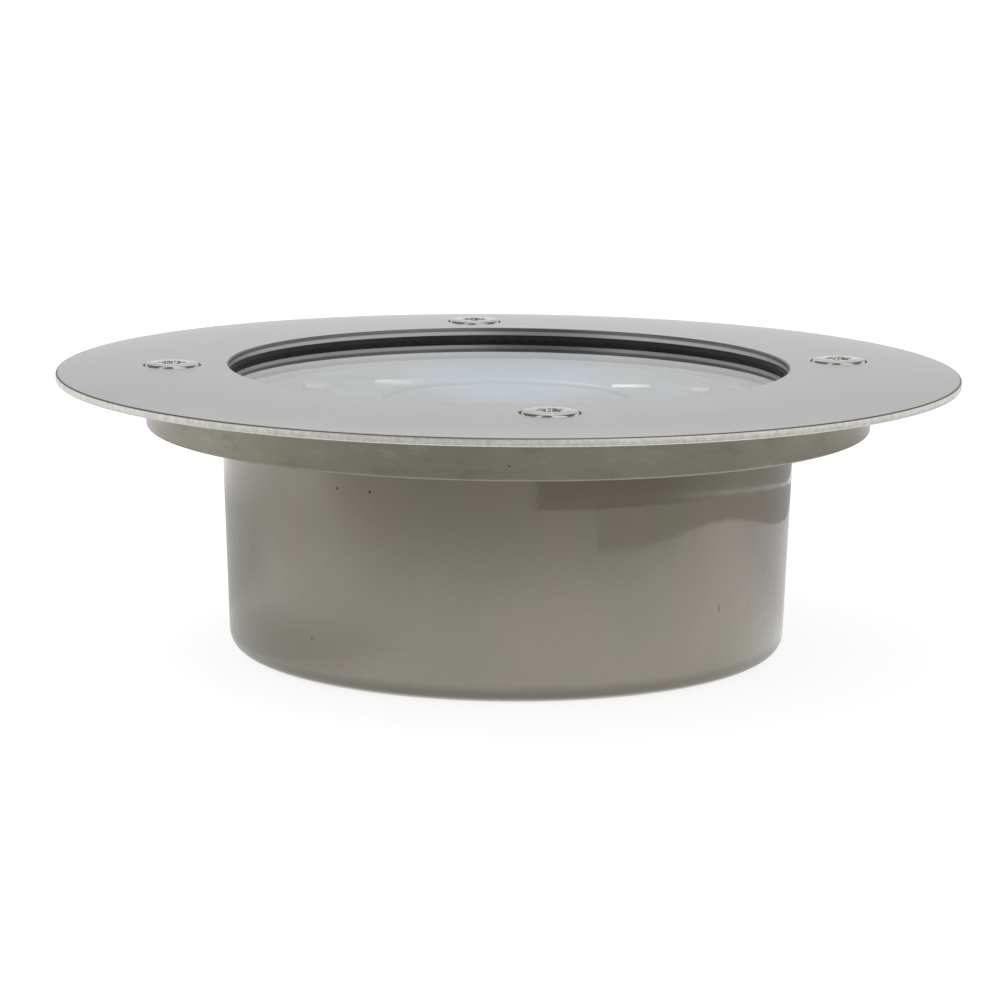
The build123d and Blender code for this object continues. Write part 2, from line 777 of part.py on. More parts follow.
# leads and earth tag
# A pair of leads climbs from the driver board past the heat sink and down on to the LED board.
lead_top = reflector_foot + lamp_lead_hump
with BuildPart() as lamp_leads:
    for side in (-1, 1):
        lead_plane = upright_plane((0, 0, 0), lamp_lead_angle)
        with BuildLine(lead_plane.offset(side * lamp_lead_spacing / 2)) as lead_run:
            FilletPolyline(
                (lamp_lead_rise_radius, board_top),
                (lamp_lead_rise_radius, lead_top),
                (lamp_lead_pad_radius, lead_top),
                (lamp_lead_pad_radius, reflector_foot),
                radius=lead_bend_radius,
            )
        with BuildSketch(Plane(lead_run.line ^ 0)):
            Circle(lead_radius)
        sweep(path=lead_run.line)
lamp_leads.part.label = "lamp_leads"
export_step(lamp_leads.part, "parts/lamp_leads.step")

# The earth tag lies on its post and its barrel points back towards the terminal block.
tag_plane = Plane(
    origin=earth_post, x_dir=(-cos(radians(earth_post_angle)), -sin(radians(earth_post_angle)), 0)
)
barrel_height = tag_barrel_radius
with BuildPart() as earth_tag:
    with BuildSketch(tag_plane):
        Circle(tag_outer_radius)
        Circle(small_screw_diameter / 2 + small_screw_fit, mode=Mode.SUBTRACT)
    extrude(amount=tag_thickness)
    with BuildSketch(Plane(
        origin=tag_plane.from_local_coords((tag_barrel_start, 0, barrel_height)),
        z_dir=tag_plane.x_dir,
    )):
        Circle(tag_barrel_radius)
    extrude(amount=tag_barrel_end - tag_barrel_start)
    with BuildSketch(Plane(
        origin=tag_plane.from_local_coords((tag_barrel_end, 0, barrel_height)),
        z_dir=tag_plane.x_dir,
    )):
        Circle(lead_radius)
    extrude(amount=-earth_lead_inside_barrel, mode=Mode.SUBTRACT)
earth_tag.part.label = "earth_tag"
export_step(earth_tag.part, "parts/earth_tag.step")

with BuildPart() as earth_screw:
    with Locations((earth_post[0], earth_post[1], earth_post_top + tag_thickness)):
        add(small_screw)
earth_screw.part.label = "earth_screw"
export_step(earth_screw.part, "parts/earth_screw.step")

with BuildPart() as earth_lead:
    lead_start = tag_barrel_end - earth_lead_inside_barrel
    with BuildLine(upright_plane(earth_post, earth_post_angle + 180)) as earth_run:
        FilletPolyline(
            (lead_start, barrel_height),
            (earth_lead_reach, barrel_height),
            (earth_lead_reach, board_top - earth_post_top),
            radius=lead_bend_radius,
        )
    with BuildSketch(Plane(earth_run.line ^ 0)):
        Circle(lead_radius)
    sweep(path=earth_run.line)
earth_lead.part.label = "earth_lead"
export_step(earth_lead.part, "parts/earth_lead.step")

# cable gland, outwards along +Y
hex_start = gland_washer_thickness
hex_end = hex_start + gland_hex_thickness
spigot_end = hex_end + gland_spigot_length
seal_start = spigot_end - cable_seal_seat_depth
nut_start = hex_end + gland_nut_start_gap
nut_end = nut_start + gland_nut_length
spigot_radius = gland_spigot_diameter / 2
cable_way_radius = cable_radius + gland_cable_clearance

with BuildPart() as gland_washer:
    with BuildSketch(gland_plane):
        Circle(gland_washer_diameter / 2)
        Circle(gland_hole_radius, mode=Mode.SUBTRACT)
    extrude(amount=gland_washer_thickness)
gland_washer.part.label = "gland_washer"
export_step(gland_washer.part, "parts/gland_washer.step")

with BuildPart() as gland_body:
    with BuildSketch(gland_plane.offset(hex_start)):
        RegularPolygon(gland_hex / 2, 6, major_radius=False)
    extrude(amount=gland_hex_thickness)
    with BuildSketch(gland_plane.offset(hex_end)):
        Circle(spigot_radius)
    extrude(amount=gland_spigot_length)
    with BuildSketch(gland_plane.offset(hex_start)):
        Circle(gland_thread_radius)
    extrude(amount=-gland_inside_length - gland_washer_thickness)
    with Locations(gland_plane.offset(spigot_end)):
        Hole(cable_way_radius)
        Hole(cable_seal_diameter / 2 + cable_seal_side_gap, depth=cable_seal_seat_depth)
gland_body.part.label = "gland_body"
export_step(gland_body.part, "parts/gland_body.step")

with BuildPart() as gland_locknut:
    with BuildSketch(gland_plane.offset(-gland_pad_length)):
        RegularPolygon(locknut_hex / 2, 6, major_radius=False)
        Circle(gland_thread_radius + small_screw_fit, mode=Mode.SUBTRACT)
    extrude(amount=-locknut_thickness)
gland_locknut.part.label = "gland_locknut"
export_step(gland_locknut.part, "parts/gland_locknut.step")

with BuildPart() as gland_seal:
    with BuildSketch(gland_plane.offset(seal_start)):
        Circle(cable_seal_diameter / 2)
        Circle(cable_radius, mode=Mode.SUBTRACT)
    extrude(amount=cable_seal_length)
    end_rims = gland_seal.edges().filter_by(GeomType.CIRCLE).group_by(Axis.Y)[-1]
    chamfer(end_rims.sort_by(SortBy.RADIUS)[-1], cable_seal_chamfer)
gland_seal.part.label = "gland_seal"
export_step(gland_seal.part, "parts/gland_seal.step")

with BuildPart() as gland_nut:
    nut_side = Plane(origin=gland_plane.origin, x_dir=(1, 0, 0), z_dir=(0, 0, 1))
    nut_corner = gland_hex / 2 / cos(radians(30))
    with BuildSketch(gland_plane.offset(nut_start)):
        RegularPolygon(gland_hex / 2, 6, major_radius=False)
    extrude(amount=gland_nut_length)
    with BuildSketch(nut_side):
        with BuildLine():
            Polyline(
                (0, nut_start),
                (nut_corner, nut_start),
                (nut_corner, nut_start + gland_nut_hex_length),
                (cable_way_radius + gland_nut_mouth_wall, nut_end),
                (0, nut_end),
                close=True,
            )
        make_face()
    revolve(axis=Axis(gland_plane.origin, (0, 1, 0)), mode=Mode.INTERSECT)
    with Locations(gland_plane.offset(nut_start)):
        Cylinder(
            spigot_radius + running_clearance,
            spigot_end - nut_start + gland_nut_cavity_gap,
            align=(Align.CENTER, Align.CENTER, Align.MIN),
            mode=Mode.SUBTRACT,
        )
        Cylinder(
            cable_seal_diameter / 2 + gland_nut_cavity_gap,
            seal_start + cable_seal_length - nut_start + gland_nut_cavity_gap,
            align=(Align.CENTER, Align.CENTER, Align.MIN),
            mode=Mode.SUBTRACT,
        )
        Cylinder(
            cable_way_radius,
            gland_nut_length,
            align=(Align.CENTER, Align.CENTER, Align.MIN),
            mode=Mode.SUBTRACT,
        )
gland_nut.part.label = "gland_nut"
export_step(gland_nut.part, "parts/gland_nut.step")
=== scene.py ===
import math

import bmesh
import bpy
from mathutils import Matrix, Vector


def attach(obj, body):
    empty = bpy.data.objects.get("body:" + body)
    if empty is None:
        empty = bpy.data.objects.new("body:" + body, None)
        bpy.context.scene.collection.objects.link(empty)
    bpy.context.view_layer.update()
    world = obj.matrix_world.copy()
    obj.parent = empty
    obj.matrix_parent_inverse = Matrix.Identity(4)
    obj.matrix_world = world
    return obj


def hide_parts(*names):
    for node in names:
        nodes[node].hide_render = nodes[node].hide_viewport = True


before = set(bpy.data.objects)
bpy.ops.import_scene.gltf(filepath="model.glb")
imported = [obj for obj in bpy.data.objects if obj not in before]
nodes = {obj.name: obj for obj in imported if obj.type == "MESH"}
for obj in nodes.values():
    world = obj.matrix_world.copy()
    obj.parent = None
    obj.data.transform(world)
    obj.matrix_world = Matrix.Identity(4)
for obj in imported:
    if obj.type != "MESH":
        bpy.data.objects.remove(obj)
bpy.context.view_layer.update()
mm = 0.001
print("frame loaded:", len(nodes), "nodes")


# camera, as the photograph was taken
shot = {
    "lens": 129.03,
    "sensorWidth": 36.0,
    "place": (0.0, -0.5923, 0.1283),
    "panAngle": 0.12,
    "lookDown": 9.94,
    "roll": 0.533,
}
bpy.ops.object.camera_add(location=shot["place"])
camera = bpy.context.object
camera.name = "photoCamera"
camera.data.lens = shot["lens"]
camera.data.sensor_width = shot["sensorWidth"]
camera.data.clip_start = 0.01
camera.matrix_world = (
    Matrix.Translation(shot["place"])
    @ Matrix.Rotation(math.radians(shot["panAngle"]), 4, "Z")
    @ Matrix.Rotation(math.radians(90 - shot["lookDown"]), 4, "X")
    @ Matrix.Rotation(math.radians(shot["roll"]), 4, "Z")
)
bpy.context.scene.camera = camera
bpy.context.scene.view_settings.view_transform = "Standard"


# small helpers for materials
def startFinish(name, color, metallic=0.0, roughness=0.5, **sockets):
    finish = bpy.data.materials.new(name)
    finish.use_nodes = True
    shader = finish.node_tree.nodes["Principled BSDF"]
    shader.inputs["Base Color"].default_value = (*color, 1)
    shader.inputs["Metallic"].default_value = metallic
    shader.inputs["Roughness"].default_value = roughness
    for socket, value in sockets.items():
        shader.inputs[socket.replace("_", " ")].default_value = value
    return finish, shader


def addNode(finish, kind, **settings):
    node = finish.node_tree.nodes.new("ShaderNode" + kind)
    for key, value in settings.items():
        setattr(node, key, value)
    return node


def feed(finish, value, socket):
    # a number is typed into the socket, anything else is linked to it
    if isinstance(value, (int, float)):
        socket.default_value = value
    elif isinstance(value, tuple):
        socket.default_value = value if len(value) == 4 or socket.type != "RGBA" else (*value, 1)
    else:
        finish.node_tree.links.new(value, socket)


def place(finish, stretch=(1, 1, 1), shift=(0, 0, 0)):
    coordinates = addNode(finish, "TexCoord")
    mapping = addNode(finish, "Mapping")
    mapping.inputs["Scale"].default_value = stretch
    mapping.inputs["Location"].default_value = shift
    feed(finish, coordinates.outputs["Object"], mapping.inputs["Vector"])
    return mapping.outputs["Vector"]


def noise(finish, vector, scale, detail=3.0, rough=0.5):
    node = addNode(finish, "TexNoise")
    feed(finish, vector, node.inputs["Vector"])
    node.inputs["Scale"].default_value = scale
    node.inputs["Detail"].default_value = detail
    node.inputs["Roughness"].default_value = rough
    return node.outputs["Fac"]


def sums(finish, operation, first, second=0.0):
    node = addNode(finish, "Math", operation=operation)
    feed(finish, first, node.inputs[0])
    feed(finish, second, node.inputs[1])
    return node.outputs[0]


def plus(finish, first, second):
    return sums(finish, "ADD", first, second)


def minus(finish, first, second):
    return sums(finish, "SUBTRACT", first, second)


def times(finish, first, second):
    return sums(finish, "MULTIPLY", first, second)


def squared(finish, value):
    return times(finish, value, value)


def ramp(finish, value, low, high, toLow=0.0, toHigh=1.0, smooth=False):
    node = addNode(finish, "MapRange", interpolation_type="SMOOTHSTEP" if smooth else "LINEAR")
    feed(finish, value, node.inputs["Value"])
    for socket, number in zip(("From Min", "From Max", "To Min", "To Max"), (low, high, toLow, toHigh)):
        node.inputs[socket].default_value = number
    return node.outputs["Result"]


def mixColor(finish, share, first, second):
    node = addNode(finish, "Mix", data_type="RGBA")
    feed(finish, share, node.inputs["Factor"])
    feed(finish, first, node.inputs[6])
    feed(finish, second, node.inputs[7])
    return node.outputs[2]


def surface(finish):
    return finish.node_tree.nodes["Material Output"].inputs["Surface"]


def plainlySeen(finish):
    # 1 for rays from the camera, from mirrors and through glass
    rays = addNode(finish, "LightPath")
    direct = sums(finish, "MAXIMUM", rays.outputs["Is Camera Ray"], rays.outputs["Is Glossy Ray"])
    return sums(finish, "MAXIMUM", direct, rays.outputs["Is Transmission Ray"])


def bump(finish, shader, height, strength, distance):
    node = addNode(finish, "Bump")
    node.inputs["Strength"].default_value = strength
    node.inputs["Distance"].default_value = distance * mm
    feed(finish, height, node.inputs["Height"])
    feed(finish, node.outputs["Normal"], shader.inputs["Normal"])


def corner(finish):
    # the three coordinates of a point of the object, in metres
    split = addNode(finish, "SeparateXYZ")
    feed(finish, place(finish), split.inputs[0])
    return split.outputs


def axes(finish):
    # radius from the light's axis, angle round it, and height, in metres and radians
    x, y, z = corner(finish)
    radius = sums(finish, "SQRT", plus(finish, squared(finish, x), squared(finish, y)))
    return radius, sums(finish, "ARCTAN2", y, x), z


def joined(finish, x, y, z):
    node = addNode(finish, "CombineXYZ")
    for value, socket in zip((x, y, z), node.inputs):
        feed(finish, value, socket)
    return node.outputs[0]


def specks(finish, vector, cells, size, share):
    # 1 in a few small round marks, one at most in each cell
    node = addNode(finish, "TexVoronoi")
    feed(finish, vector, node.inputs["Vector"])
    node.inputs["Scale"].default_value = cells
    chance = addNode(finish, "SeparateColor")
    feed(finish, node.outputs["Color"], chance.inputs[0])
    mark = ramp(finish, node.outputs["Distance"], size * cells * mm, size * cells * mm * 0.5)
    return times(finish, mark, sums(finish, "LESS_THAN", chance.outputs[0], share))


def wear(finish, shader, look):
    # the plain pattern that most finishes share: soft patches of colour, and a fine grain in gloss and height
    grain = noise(finish, place(finish, look.get("stretch", (1, 1, 1))), look["grain"], 4.0, 0.6)
    patches = noise(finish, place(finish), look.get("patch", 120), 2.0)
    tone = mixColor(finish, ramp(finish, patches, 0.35, 0.65), look["color"], look["shade"])
    feed(finish, tone, shader.inputs["Base Color"])
    feed(finish, ramp(finish, grain, 0.3, 0.7, *look["roughness"]), shader.inputs["Roughness"])
    bump(finish, shader, grain, look.get("bump", 0.2), look.get("depth", 0.05))
    return tone


# face screws: raised countersunk heads, star drive, rolled thread
screwLook = {
    "headRadius": 4.5,
    "lobeRadius": 0.50,
    "lobeOffset": 1.72,
    "hollowRadii": [1.66, 1.61, 1.60],
    "threadRadius": 2.5,
    "coreRadius": 2.03,
    "pitch": 0.8,
    "threadTurns": 6,
    "threadStart": -7.35,
    "circleRadius": 55.9,
    "height": 47.6,
    "startAngle": 6.5,
    "starTurns": [11, 32, 4, 17],
}

# plate: satin stainless sheet, a rougher sheared edge and a thin dark line of painted shade along its top
plateLook = {
    "color": (0.522, 0.522, 0.516),
    "shade": (0.600, 0.600, 0.594),
    "paintedRearLight": (0.70, 0.70, 0.692),
    "edgeColor": (0.90, 0.89, 0.83),
    "edgeShade": (0.62, 0.61, 0.56),
    "rimShadeLine": (0.10, 0.10, 0.09),
    "windowEdge": (0.62, 0.62, 0.61),
    "windowLipShade": (0.20, 0.20, 0.195),
    "speck": (0.12, 0.12, 0.11),
    "sink": (0.05, 0.05, 0.045),
    "edgeRadii": (0.07468, 0.07490),
    "rimShadeRadii": (0.07462, 0.07474),
    "rimShadeHeights": (0.04655, 0.04668),
    "sinkShadeRadii": (0.00486, 0.00479),
    "windowRadii": (0.04692, 0.04678),
    "lipHeights": (0.04695, 0.04712),
}


def makePlateSteel():
    look = plateLook
    finish, shader = startFinish("brushedPlateSteel", look["color"], 1.0, 0.34)
    radius, angle, height = axes(finish)
    brush = noise(finish, place(finish, (14, 900, 900)), 1.0, 4.0, 0.65)
    cloud = noise(finish, place(finish), 28, 2.0)
    face = mixColor(finish, ramp(finish, brush, 0.3, 0.7), look["color"], look["shade"])
    face = mixColor(finish, ramp(finish, cloud, 0.35, 0.7, 0.0, 0.35), face, look["shade"])
    # painted light: the sheet is painted a little brighter towards its rear, where it mirrors more light
    toRear = times(finish, radius, sums(finish, "SINE", angle))
    face = mixColor(finish, ramp(finish, toRear, -0.035, 0.07), face, look["paintedRearLight"])
    marks = specks(finish, place(finish), 60, 0.30, 0.14)
    face = mixColor(finish, marks, face, look["speck"])
    # sheared edge, scored from top to bottom
    along = joined(finish, times(finish, angle, 90), times(finish, height, 900), 0.0)
    scores = noise(finish, along, 1.0, 5.0, 0.75)
    sheared = mixColor(finish, ramp(finish, scores, 0.3, 0.68), look["edgeShade"], look["edgeColor"])
    onEdge = ramp(finish, radius, *look["edgeRadii"])
    face = mixColor(finish, onEdge, face, sheared)
    # painted shade: a thin dark line along the top of the rounded rim
    rimShadeLine = times(finish, ramp(finish, radius, *look["rimShadeRadii"]), ramp(finish, height, *look["rimShadeHeights"]))
    face = mixColor(finish, times(finish, rimShadeLine, 0.85), face, look["rimShadeLine"])
    # painted shade in the four countersinks, a dark ring round each screw head: distance from the nearest
    # screw's axis
    quarter = math.pi / 2
    fromFirst = minus(finish, angle, math.radians(screwLook["startAngle"]))
    quarters = sums(finish, "ROUND", sums(finish, "DIVIDE", fromFirst, quarter))
    nearest = times(finish, quarters, quarter)
    aside = sums(finish, "COSINE", minus(finish, fromFirst, nearest))
    reach = screwLook["circleRadius"] * mm
    square = plus(finish, squared(finish, radius), reach * reach)
    square = minus(finish, square, times(finish, times(finish, radius, aside), 2 * reach))
    inSinkShade = ramp(finish, sums(finish, "SQRT", square), *look["sinkShadeRadii"])
    face = mixColor(finish, inSinkShade, face, look["sink"])
    # window's edge: bright below, with a dark line of painted shade on the rounded lip at its top
    inWindow = ramp(finish, radius, *look["windowRadii"])
    onLip = ramp(finish, height, *look["lipHeights"])
    windowTone = mixColor(finish, onLip, look["windowEdge"], look["windowLipShade"])
    face = mixColor(finish, inWindow, face, windowTone)
    feed(finish, face, shader.inputs["Base Color"])
    gloss = ramp(finish, brush, 0.3, 0.7, 0.30, 0.40)
    feed(finish, plus(finish, gloss, times(finish, onEdge, 0.12)), shader.inputs["Roughness"])
    relief = plus(finish, times(finish, brush, 0.15), times(finish, scores, onEdge))
    bump(finish, shader, relief, 0.35, 0.05)
    return finish


# can: warm grey plated casting, mottled and lightly pitted
canLook = {
    "color": (0.243, 0.227, 0.180),
    "pink": (0.266, 0.234, 0.189),
    "green": (0.224, 0.224, 0.165),
    "pit": (0.07, 0.065, 0.055),
    "stainAndReflection": (0.155, 0.142, 0.108),
    "wallRadius": 0.047,
    "reflectionHeights": (0.0313, 0.0318),
    "reflectionStart": (0.0042, 0.0056),
    "reflectionEnd": (0.041, 0.024),
    "reflectionShare": 0.62,
    "marks": {
        "leftPit": (-28, 33, 0.3, 0.3),
        "nextPit": (-22, 33, 0.3, 0.3),
        "lowPit": (-34, 8, 0.2, 0.3),
        "scratch": (38, 13, 0.14, 0.8),
    },
}


def makeCanAlloy():
    look = canLook
    finish, shader = startFinish(
        "satinCanAlloy", look["color"], 1.0, 0.42, Coat_Weight=1.0, Coat_Roughness=0.05, Coat_IOR=1.70
    )
    patches = noise(finish, place(finish, (1, 1, 0.8)), 34, 2.0)
    other = noise(finish, place(finish, shift=(0.3, 0.1, 0.2)), 55, 2.0)
    tone = mixColor(finish, ramp(finish, patches, 0.42, 0.66), look["color"], look["pink"])
    tone = mixColor(finish, ramp(finish, other, 0.45, 0.7, 0.0, 0.8), tone, look["green"])
    pits = specks(finish, place(finish), 95, 0.22, 0.14)
    radius, angle, height = axes(finish)
    around = times(finish, plus(finish, angle, math.pi / 2), look["wallRadius"])
    for aside, up, wide, tall in look["marks"].values():
        x = sums(finish, "DIVIDE", minus(finish, around, aside * mm), wide * mm)
        z = sums(finish, "DIVIDE", minus(finish, height, up * mm), tall * mm)
        away = plus(finish, squared(finish, x), squared(finish, z))
        pits = sums(finish, "MAXIMUM", pits, ramp(finish, away, 1.0, 0.4))
    # painted reflection: a dark brown patch under the flange, cut off sharply at its left and below
    ragged = noise(finish, place(finish), 300, 3.0)
    low = ramp(finish, plus(finish, height, times(finish, ragged, 0.0008)), *look["reflectionHeights"])
    left = ramp(finish, plus(finish, around, times(finish, ragged, 0.0012)), *look["reflectionStart"])
    fade = ramp(finish, around, *look["reflectionEnd"], 0.0, look["reflectionShare"])
    darkReflection = times(finish, times(finish, low, left), fade)
    tone = mixColor(finish, darkReflection, tone, look["stainAndReflection"])
    tone = mixColor(finish, pits, tone, look["pit"])
    feed(finish, tone, shader.inputs["Base Color"])
    grain = noise(finish, place(finish), 900, 4.0, 0.6)
    feed(finish, ramp(finish, grain, 0.3, 0.7, 0.38, 0.47), shader.inputs["Roughness"])
    relief = minus(finish, times(finish, grain, 0.15), pits)
    bump(finish, shader, relief, 0.25, 0.06)
    return finish


# flange: the same plating over fine turning marks
flangeLook = {
    "color": (0.264, 0.245, 0.190),
    "shade": (0.306, 0.287, 0.232),
    "stainAndReflection": (0.185, 0.168, 0.125),
    "pale": (0.38, 0.37, 0.32),
    "pit": (0.07, 0.065, 0.055),
}


def makeFlangeAlloy():
    look = flangeLook
    finish, shader = startFinish(
        "turnedFlangeAlloy", look["color"], 1.0, 0.42, Coat_Weight=0.5, Coat_Roughness=0.2
    )
    radius, angle, height = axes(finish)
    up, out = times(finish, height, 3200), times(finish, radius, 3200)
    turning = joined(finish, times(finish, angle, 1.5), up, out)
    lines = noise(finish, turning, 1.0, 3.0, 0.6)
    patches = noise(finish, place(finish), 45, 2.0)
    tone = mixColor(finish, ramp(finish, patches, 0.35, 0.7), look["color"], look["shade"])
    tone = mixColor(finish, ramp(finish, lines, 0.45, 0.75, 0.0, 0.5), tone, look["shade"])
    wiped = joined(finish, times(finish, angle, 7), times(finish, height, 300), 0.0)
    blots = noise(finish, wiped, 1.0, 5.0, 0.7)
    tone = mixColor(finish, ramp(finish, blots, 0.54, 0.70, 0.0, 0.6), tone, look["stainAndReflection"])
    tone = mixColor(finish, ramp(finish, blots, 0.44, 0.32, 0.0, 0.6), tone, look["pale"])
    pits = specks(finish, place(finish), 150, 0.22, 0.28)
    tone = mixColor(finish, pits, tone, look["pit"])
    feed(finish, tone, shader.inputs["Base Color"])
    feed(finish, ramp(finish, lines, 0.3, 0.7, 0.38, 0.48), shader.inputs["Roughness"])
    bump(finish, shader, minus(finish, times(finish, lines, 0.4), pits), 0.3, 0.03)
    return finish


# glass: clear, and lamps and bounced light pass straight through it
glassLook = {"tint": (0.90, 0.94, 0.95), "shadowTint": (0.86, 0.90, 0.90), "mirrorTint": (0.80, 0.81, 0.82)}


def makeGlass():
    look = glassLook
    finish, shader = startFinish("clearLensGlass", look["tint"], 0.0, 0.0, IOR=1.48, Transmission_Weight=1.0)
    smears = noise(finish, place(finish), 60, 3.0)
    feed(finish, ramp(finish, smears, 0.5, 0.8, 0.0, 0.05), shader.inputs["Roughness"])
    shader.inputs["Specular Tint"].default_value = (*look["mirrorTint"], 1)
    rays = addNode(finish, "LightPath")
    see = addNode(finish, "BsdfTransparent")
    see.inputs["Color"].default_value = (*look["shadowTint"], 1)
    both = addNode(finish, "MixShader")
    through = sums(finish, "MAXIMUM", rays.outputs["Is Shadow Ray"], rays.outputs["Is Diffuse Ray"])
    feed(finish, through, both.inputs[0])
    feed(finish, shader.outputs[0], both.inputs[1])
    feed(finish, see.outputs[0], both.inputs[2])
    feed(finish, both.outputs[0], surface(finish))
    return finish


# every other finish: soft patches, fine grain
plainLooks = {
    "blackSealRubber": {
        "color": (0.016, 0.016, 0.016), "shade": (0.026, 0.026, 0.026), "roughness": (0.45, 0.6),
        "grain": 2500, "bump": 0.3, "slot": "black_rubber",
        "nodes": ["glass_seal", "gland_seal", "gland_washer"],
    },
    "polishedScrewSteel": {
        "color": (0.62, 0.62, 0.60), "shade": (0.55, 0.55, 0.53), "roughness": (0.10, 0.18), "metallic": 1.0,
        "grain": 1800, "bump": 0.05, "slot": "screw_steel",
        "nodes": ["face_screw_right", "face_screw_back", "face_screw_left", "face_screw_front"],
    },
    # painted shade: the trim's paint is darkened to stand in for the shade inside the light
    "paleTrimPaint": {
        "color": (0.255, 0.270, 0.272), "shade": (0.235, 0.250, 0.252), "roughness": (0.42, 0.55),
        "grain": 1500, "bump": 0.15, "nodes": ["inner_trim"],
    },
    "smallScrewSteel": {
        "color": (0.58, 0.57, 0.53), "shade": (0.48, 0.47, 0.43), "roughness": (0.25, 0.38), "metallic": 1.0,
        "grain": 2600, "nodes": [
            "trim_screws", "led_board_screws", "carrier_screws", "driver_board_screws", "terminal_screws",
            "earth_screw",
        ],
    },
    "chromedBezel": {
        "color": (0.23, 0.24, 0.25), "shade": (0.21, 0.22, 0.23), "roughness": (0.30, 0.38), "metallic": 1.0,
        "grain": 900, "bump": 0.03, "nodes": ["lamp_bezel"],
    },
    # painted shade: the diffuser is darkened to stand in for the shade inside the light
    "opalDiffuser": {
        "color": (0.142, 0.157, 0.172), "shade": (0.132, 0.146, 0.160), "roughness": (0.34, 0.46),
        "grain": 1400, "bump": 0.08, "nodes": ["lamp_diffuser"],
    },
    "spunReflector": {
        "color": (0.72, 0.72, 0.71), "shade": (0.62, 0.62, 0.61), "roughness": (0.16, 0.28), "metallic": 1.0,
        "grain": 400, "stretch": (1, 1, 9), "bump": 0.1, "nodes": ["lamp_reflector"],
    },
    "yellowPhosphor": {
        "color": (0.80, 0.62, 0.10), "shade": (0.74, 0.55, 0.08), "roughness": (0.45, 0.6),
        "grain": 3000, "nodes": ["led_emitter"],
    },
    "whiteMaskedBoard": {
        "color": (0.74, 0.75, 0.74), "shade": (0.68, 0.70, 0.69), "roughness": (0.32, 0.42),
        "grain": 2000, "bump": 0.06, "nodes": ["led_board"],
    },
    "greyThermalPad": {
        "color": (0.22, 0.26, 0.30), "shade": (0.18, 0.22, 0.26), "roughness": (0.7, 0.85),
        "grain": 1600, "nodes": ["thermal_pad"],
    },
    "blackHeatSink": {
        "color": (0.025, 0.025, 0.028), "shade": (0.04, 0.04, 0.043), "roughness": (0.38, 0.5),
        "metallic": 0.6, "grain": 700, "stretch": (0.1, 1, 1), "nodes": ["heat_sink"],
    },
    "zincedStrap": {
        "color": (0.50, 0.51, 0.52), "shade": (0.40, 0.41, 0.43), "roughness": (0.30, 0.46), "metallic": 1.0,
        "grain": 500, "patch": 260, "nodes": ["carrier_strap"],
    },
    "greenDriverBoard": {
        "color": (0.015, 0.12, 0.045), "shade": (0.02, 0.16, 0.06), "roughness": (0.25, 0.38),
        "grain": 1200, "patch": 400, "bump": 0.1, "nodes": ["driver_board"],
    },
    "yellowWindingTape": {
        "color": (0.70, 0.52, 0.05), "shade": (0.62, 0.44, 0.04), "roughness": (0.25, 0.4),
        "grain": 900, "stretch": (1, 1, 6), "nodes": ["driver_transformer"],
    },
    "blackCapacitorSleeve": {
        "color": (0.018, 0.020, 0.035), "shade": (0.025, 0.028, 0.045), "roughness": (0.22, 0.34),
        "grain": 800, "bump": 0.05, "nodes": ["driver_capacitors"],
    },
    "greyFerrite": {
        "color": (0.045, 0.045, 0.048), "shade": (0.065, 0.065, 0.065), "roughness": (0.5, 0.65),
        "grain": 2500, "nodes": ["driver_choke"],
    },
    "blackChipPlastic": {
        "color": (0.020, 0.020, 0.022), "shade": (0.035, 0.035, 0.035), "roughness": (0.4, 0.55),
        "grain": 3000, "nodes": ["driver_parts"],
    },
    "greenTerminalPlastic": {
        "color": (0.03, 0.24, 0.10), "shade": (0.025, 0.20, 0.08), "roughness": (0.35, 0.48),
        "grain": 1500, "bump": 0.1, "nodes": ["terminal_block"],
    },
    "whiteLeadSleeve": {
        "color": (0.72, 0.72, 0.70), "shade": (0.66, 0.66, 0.63), "roughness": (0.35, 0.48),
        "grain": 1800, "nodes": ["lamp_leads"],
    },
    "greenLeadSleeve": {
        "color": (0.04, 0.28, 0.06), "shade": (0.05, 0.33, 0.07), "roughness": (0.35, 0.48),
        "grain": 1800, "nodes": ["earth_lead"],
    },
    "tinnedTag": {
        "color": (0.66, 0.62, 0.50), "shade": (0.56, 0.52, 0.40), "roughness": (0.28, 0.4), "metallic": 1.0,
        "grain": 1500, "nodes": ["earth_tag"],
    },
    "nickelledGland": {
        "color": (0.52, 0.50, 0.45), "shade": (0.46, 0.44, 0.39), "roughness": (0.20, 0.30), "metallic": 1.0,
        "grain": 1400, "bump": 0.08, "slot": "gland_brass",
        "nodes": ["gland_body", "gland_locknut", "gland_nut"],
    },
}

finishes = {
    "brushedPlateSteel": makePlateSteel(),
    "satinCanAlloy": makeCanAlloy(),
    "turnedFlangeAlloy": makeFlangeAlloy(),
    "clearLensGlass": makeGlass(),
}
dressed = {
    "face_plate": "brushedPlateSteel",
    "housing": "satinCanAlloy",
    "seat_flange": "turnedFlangeAlloy",
    "glass_lens": "clearLensGlass",
}
for name, look in plainLooks.items():
    finish, shader = startFinish(name, look["color"], look.get("metallic", 0.0))
    wear(finish, shader, look)
    finishes[name] = finish
    for node in look["nodes"]:
        dressed[node] = name


# second colours on the small pieces, each inside a region of the light
def inBox(finish, low, high):
    # 1 inside a box between two corners in mm, None where a side is open
    inside = 1.0
    for value, start, end in zip(corner(finish), low, high):
        if start is not None:
            inside = times(finish, inside, sums(finish, "GREATER_THAN", value, start * mm))
        if end is not None:
            inside = times(finish, inside, sums(finish, "LESS_THAN", value, end * mm))
    return inside


def nearAxis(finish, spots, radius):
    # 1 within a radius in mm of any of the upright axes
    inside = 0.0
    x, y, z = corner(finish)
    for middleX, middleY in spots:
        stepX = minus(finish, x, middleX * mm)
        stepY = minus(finish, y, middleY * mm)
        away = plus(finish, squared(finish, stepX), squared(finish, stepY))
        inside = sums(finish, "MAXIMUM", inside, sums(finish, "LESS_THAN", away, (radius * mm) ** 2))
    return inside


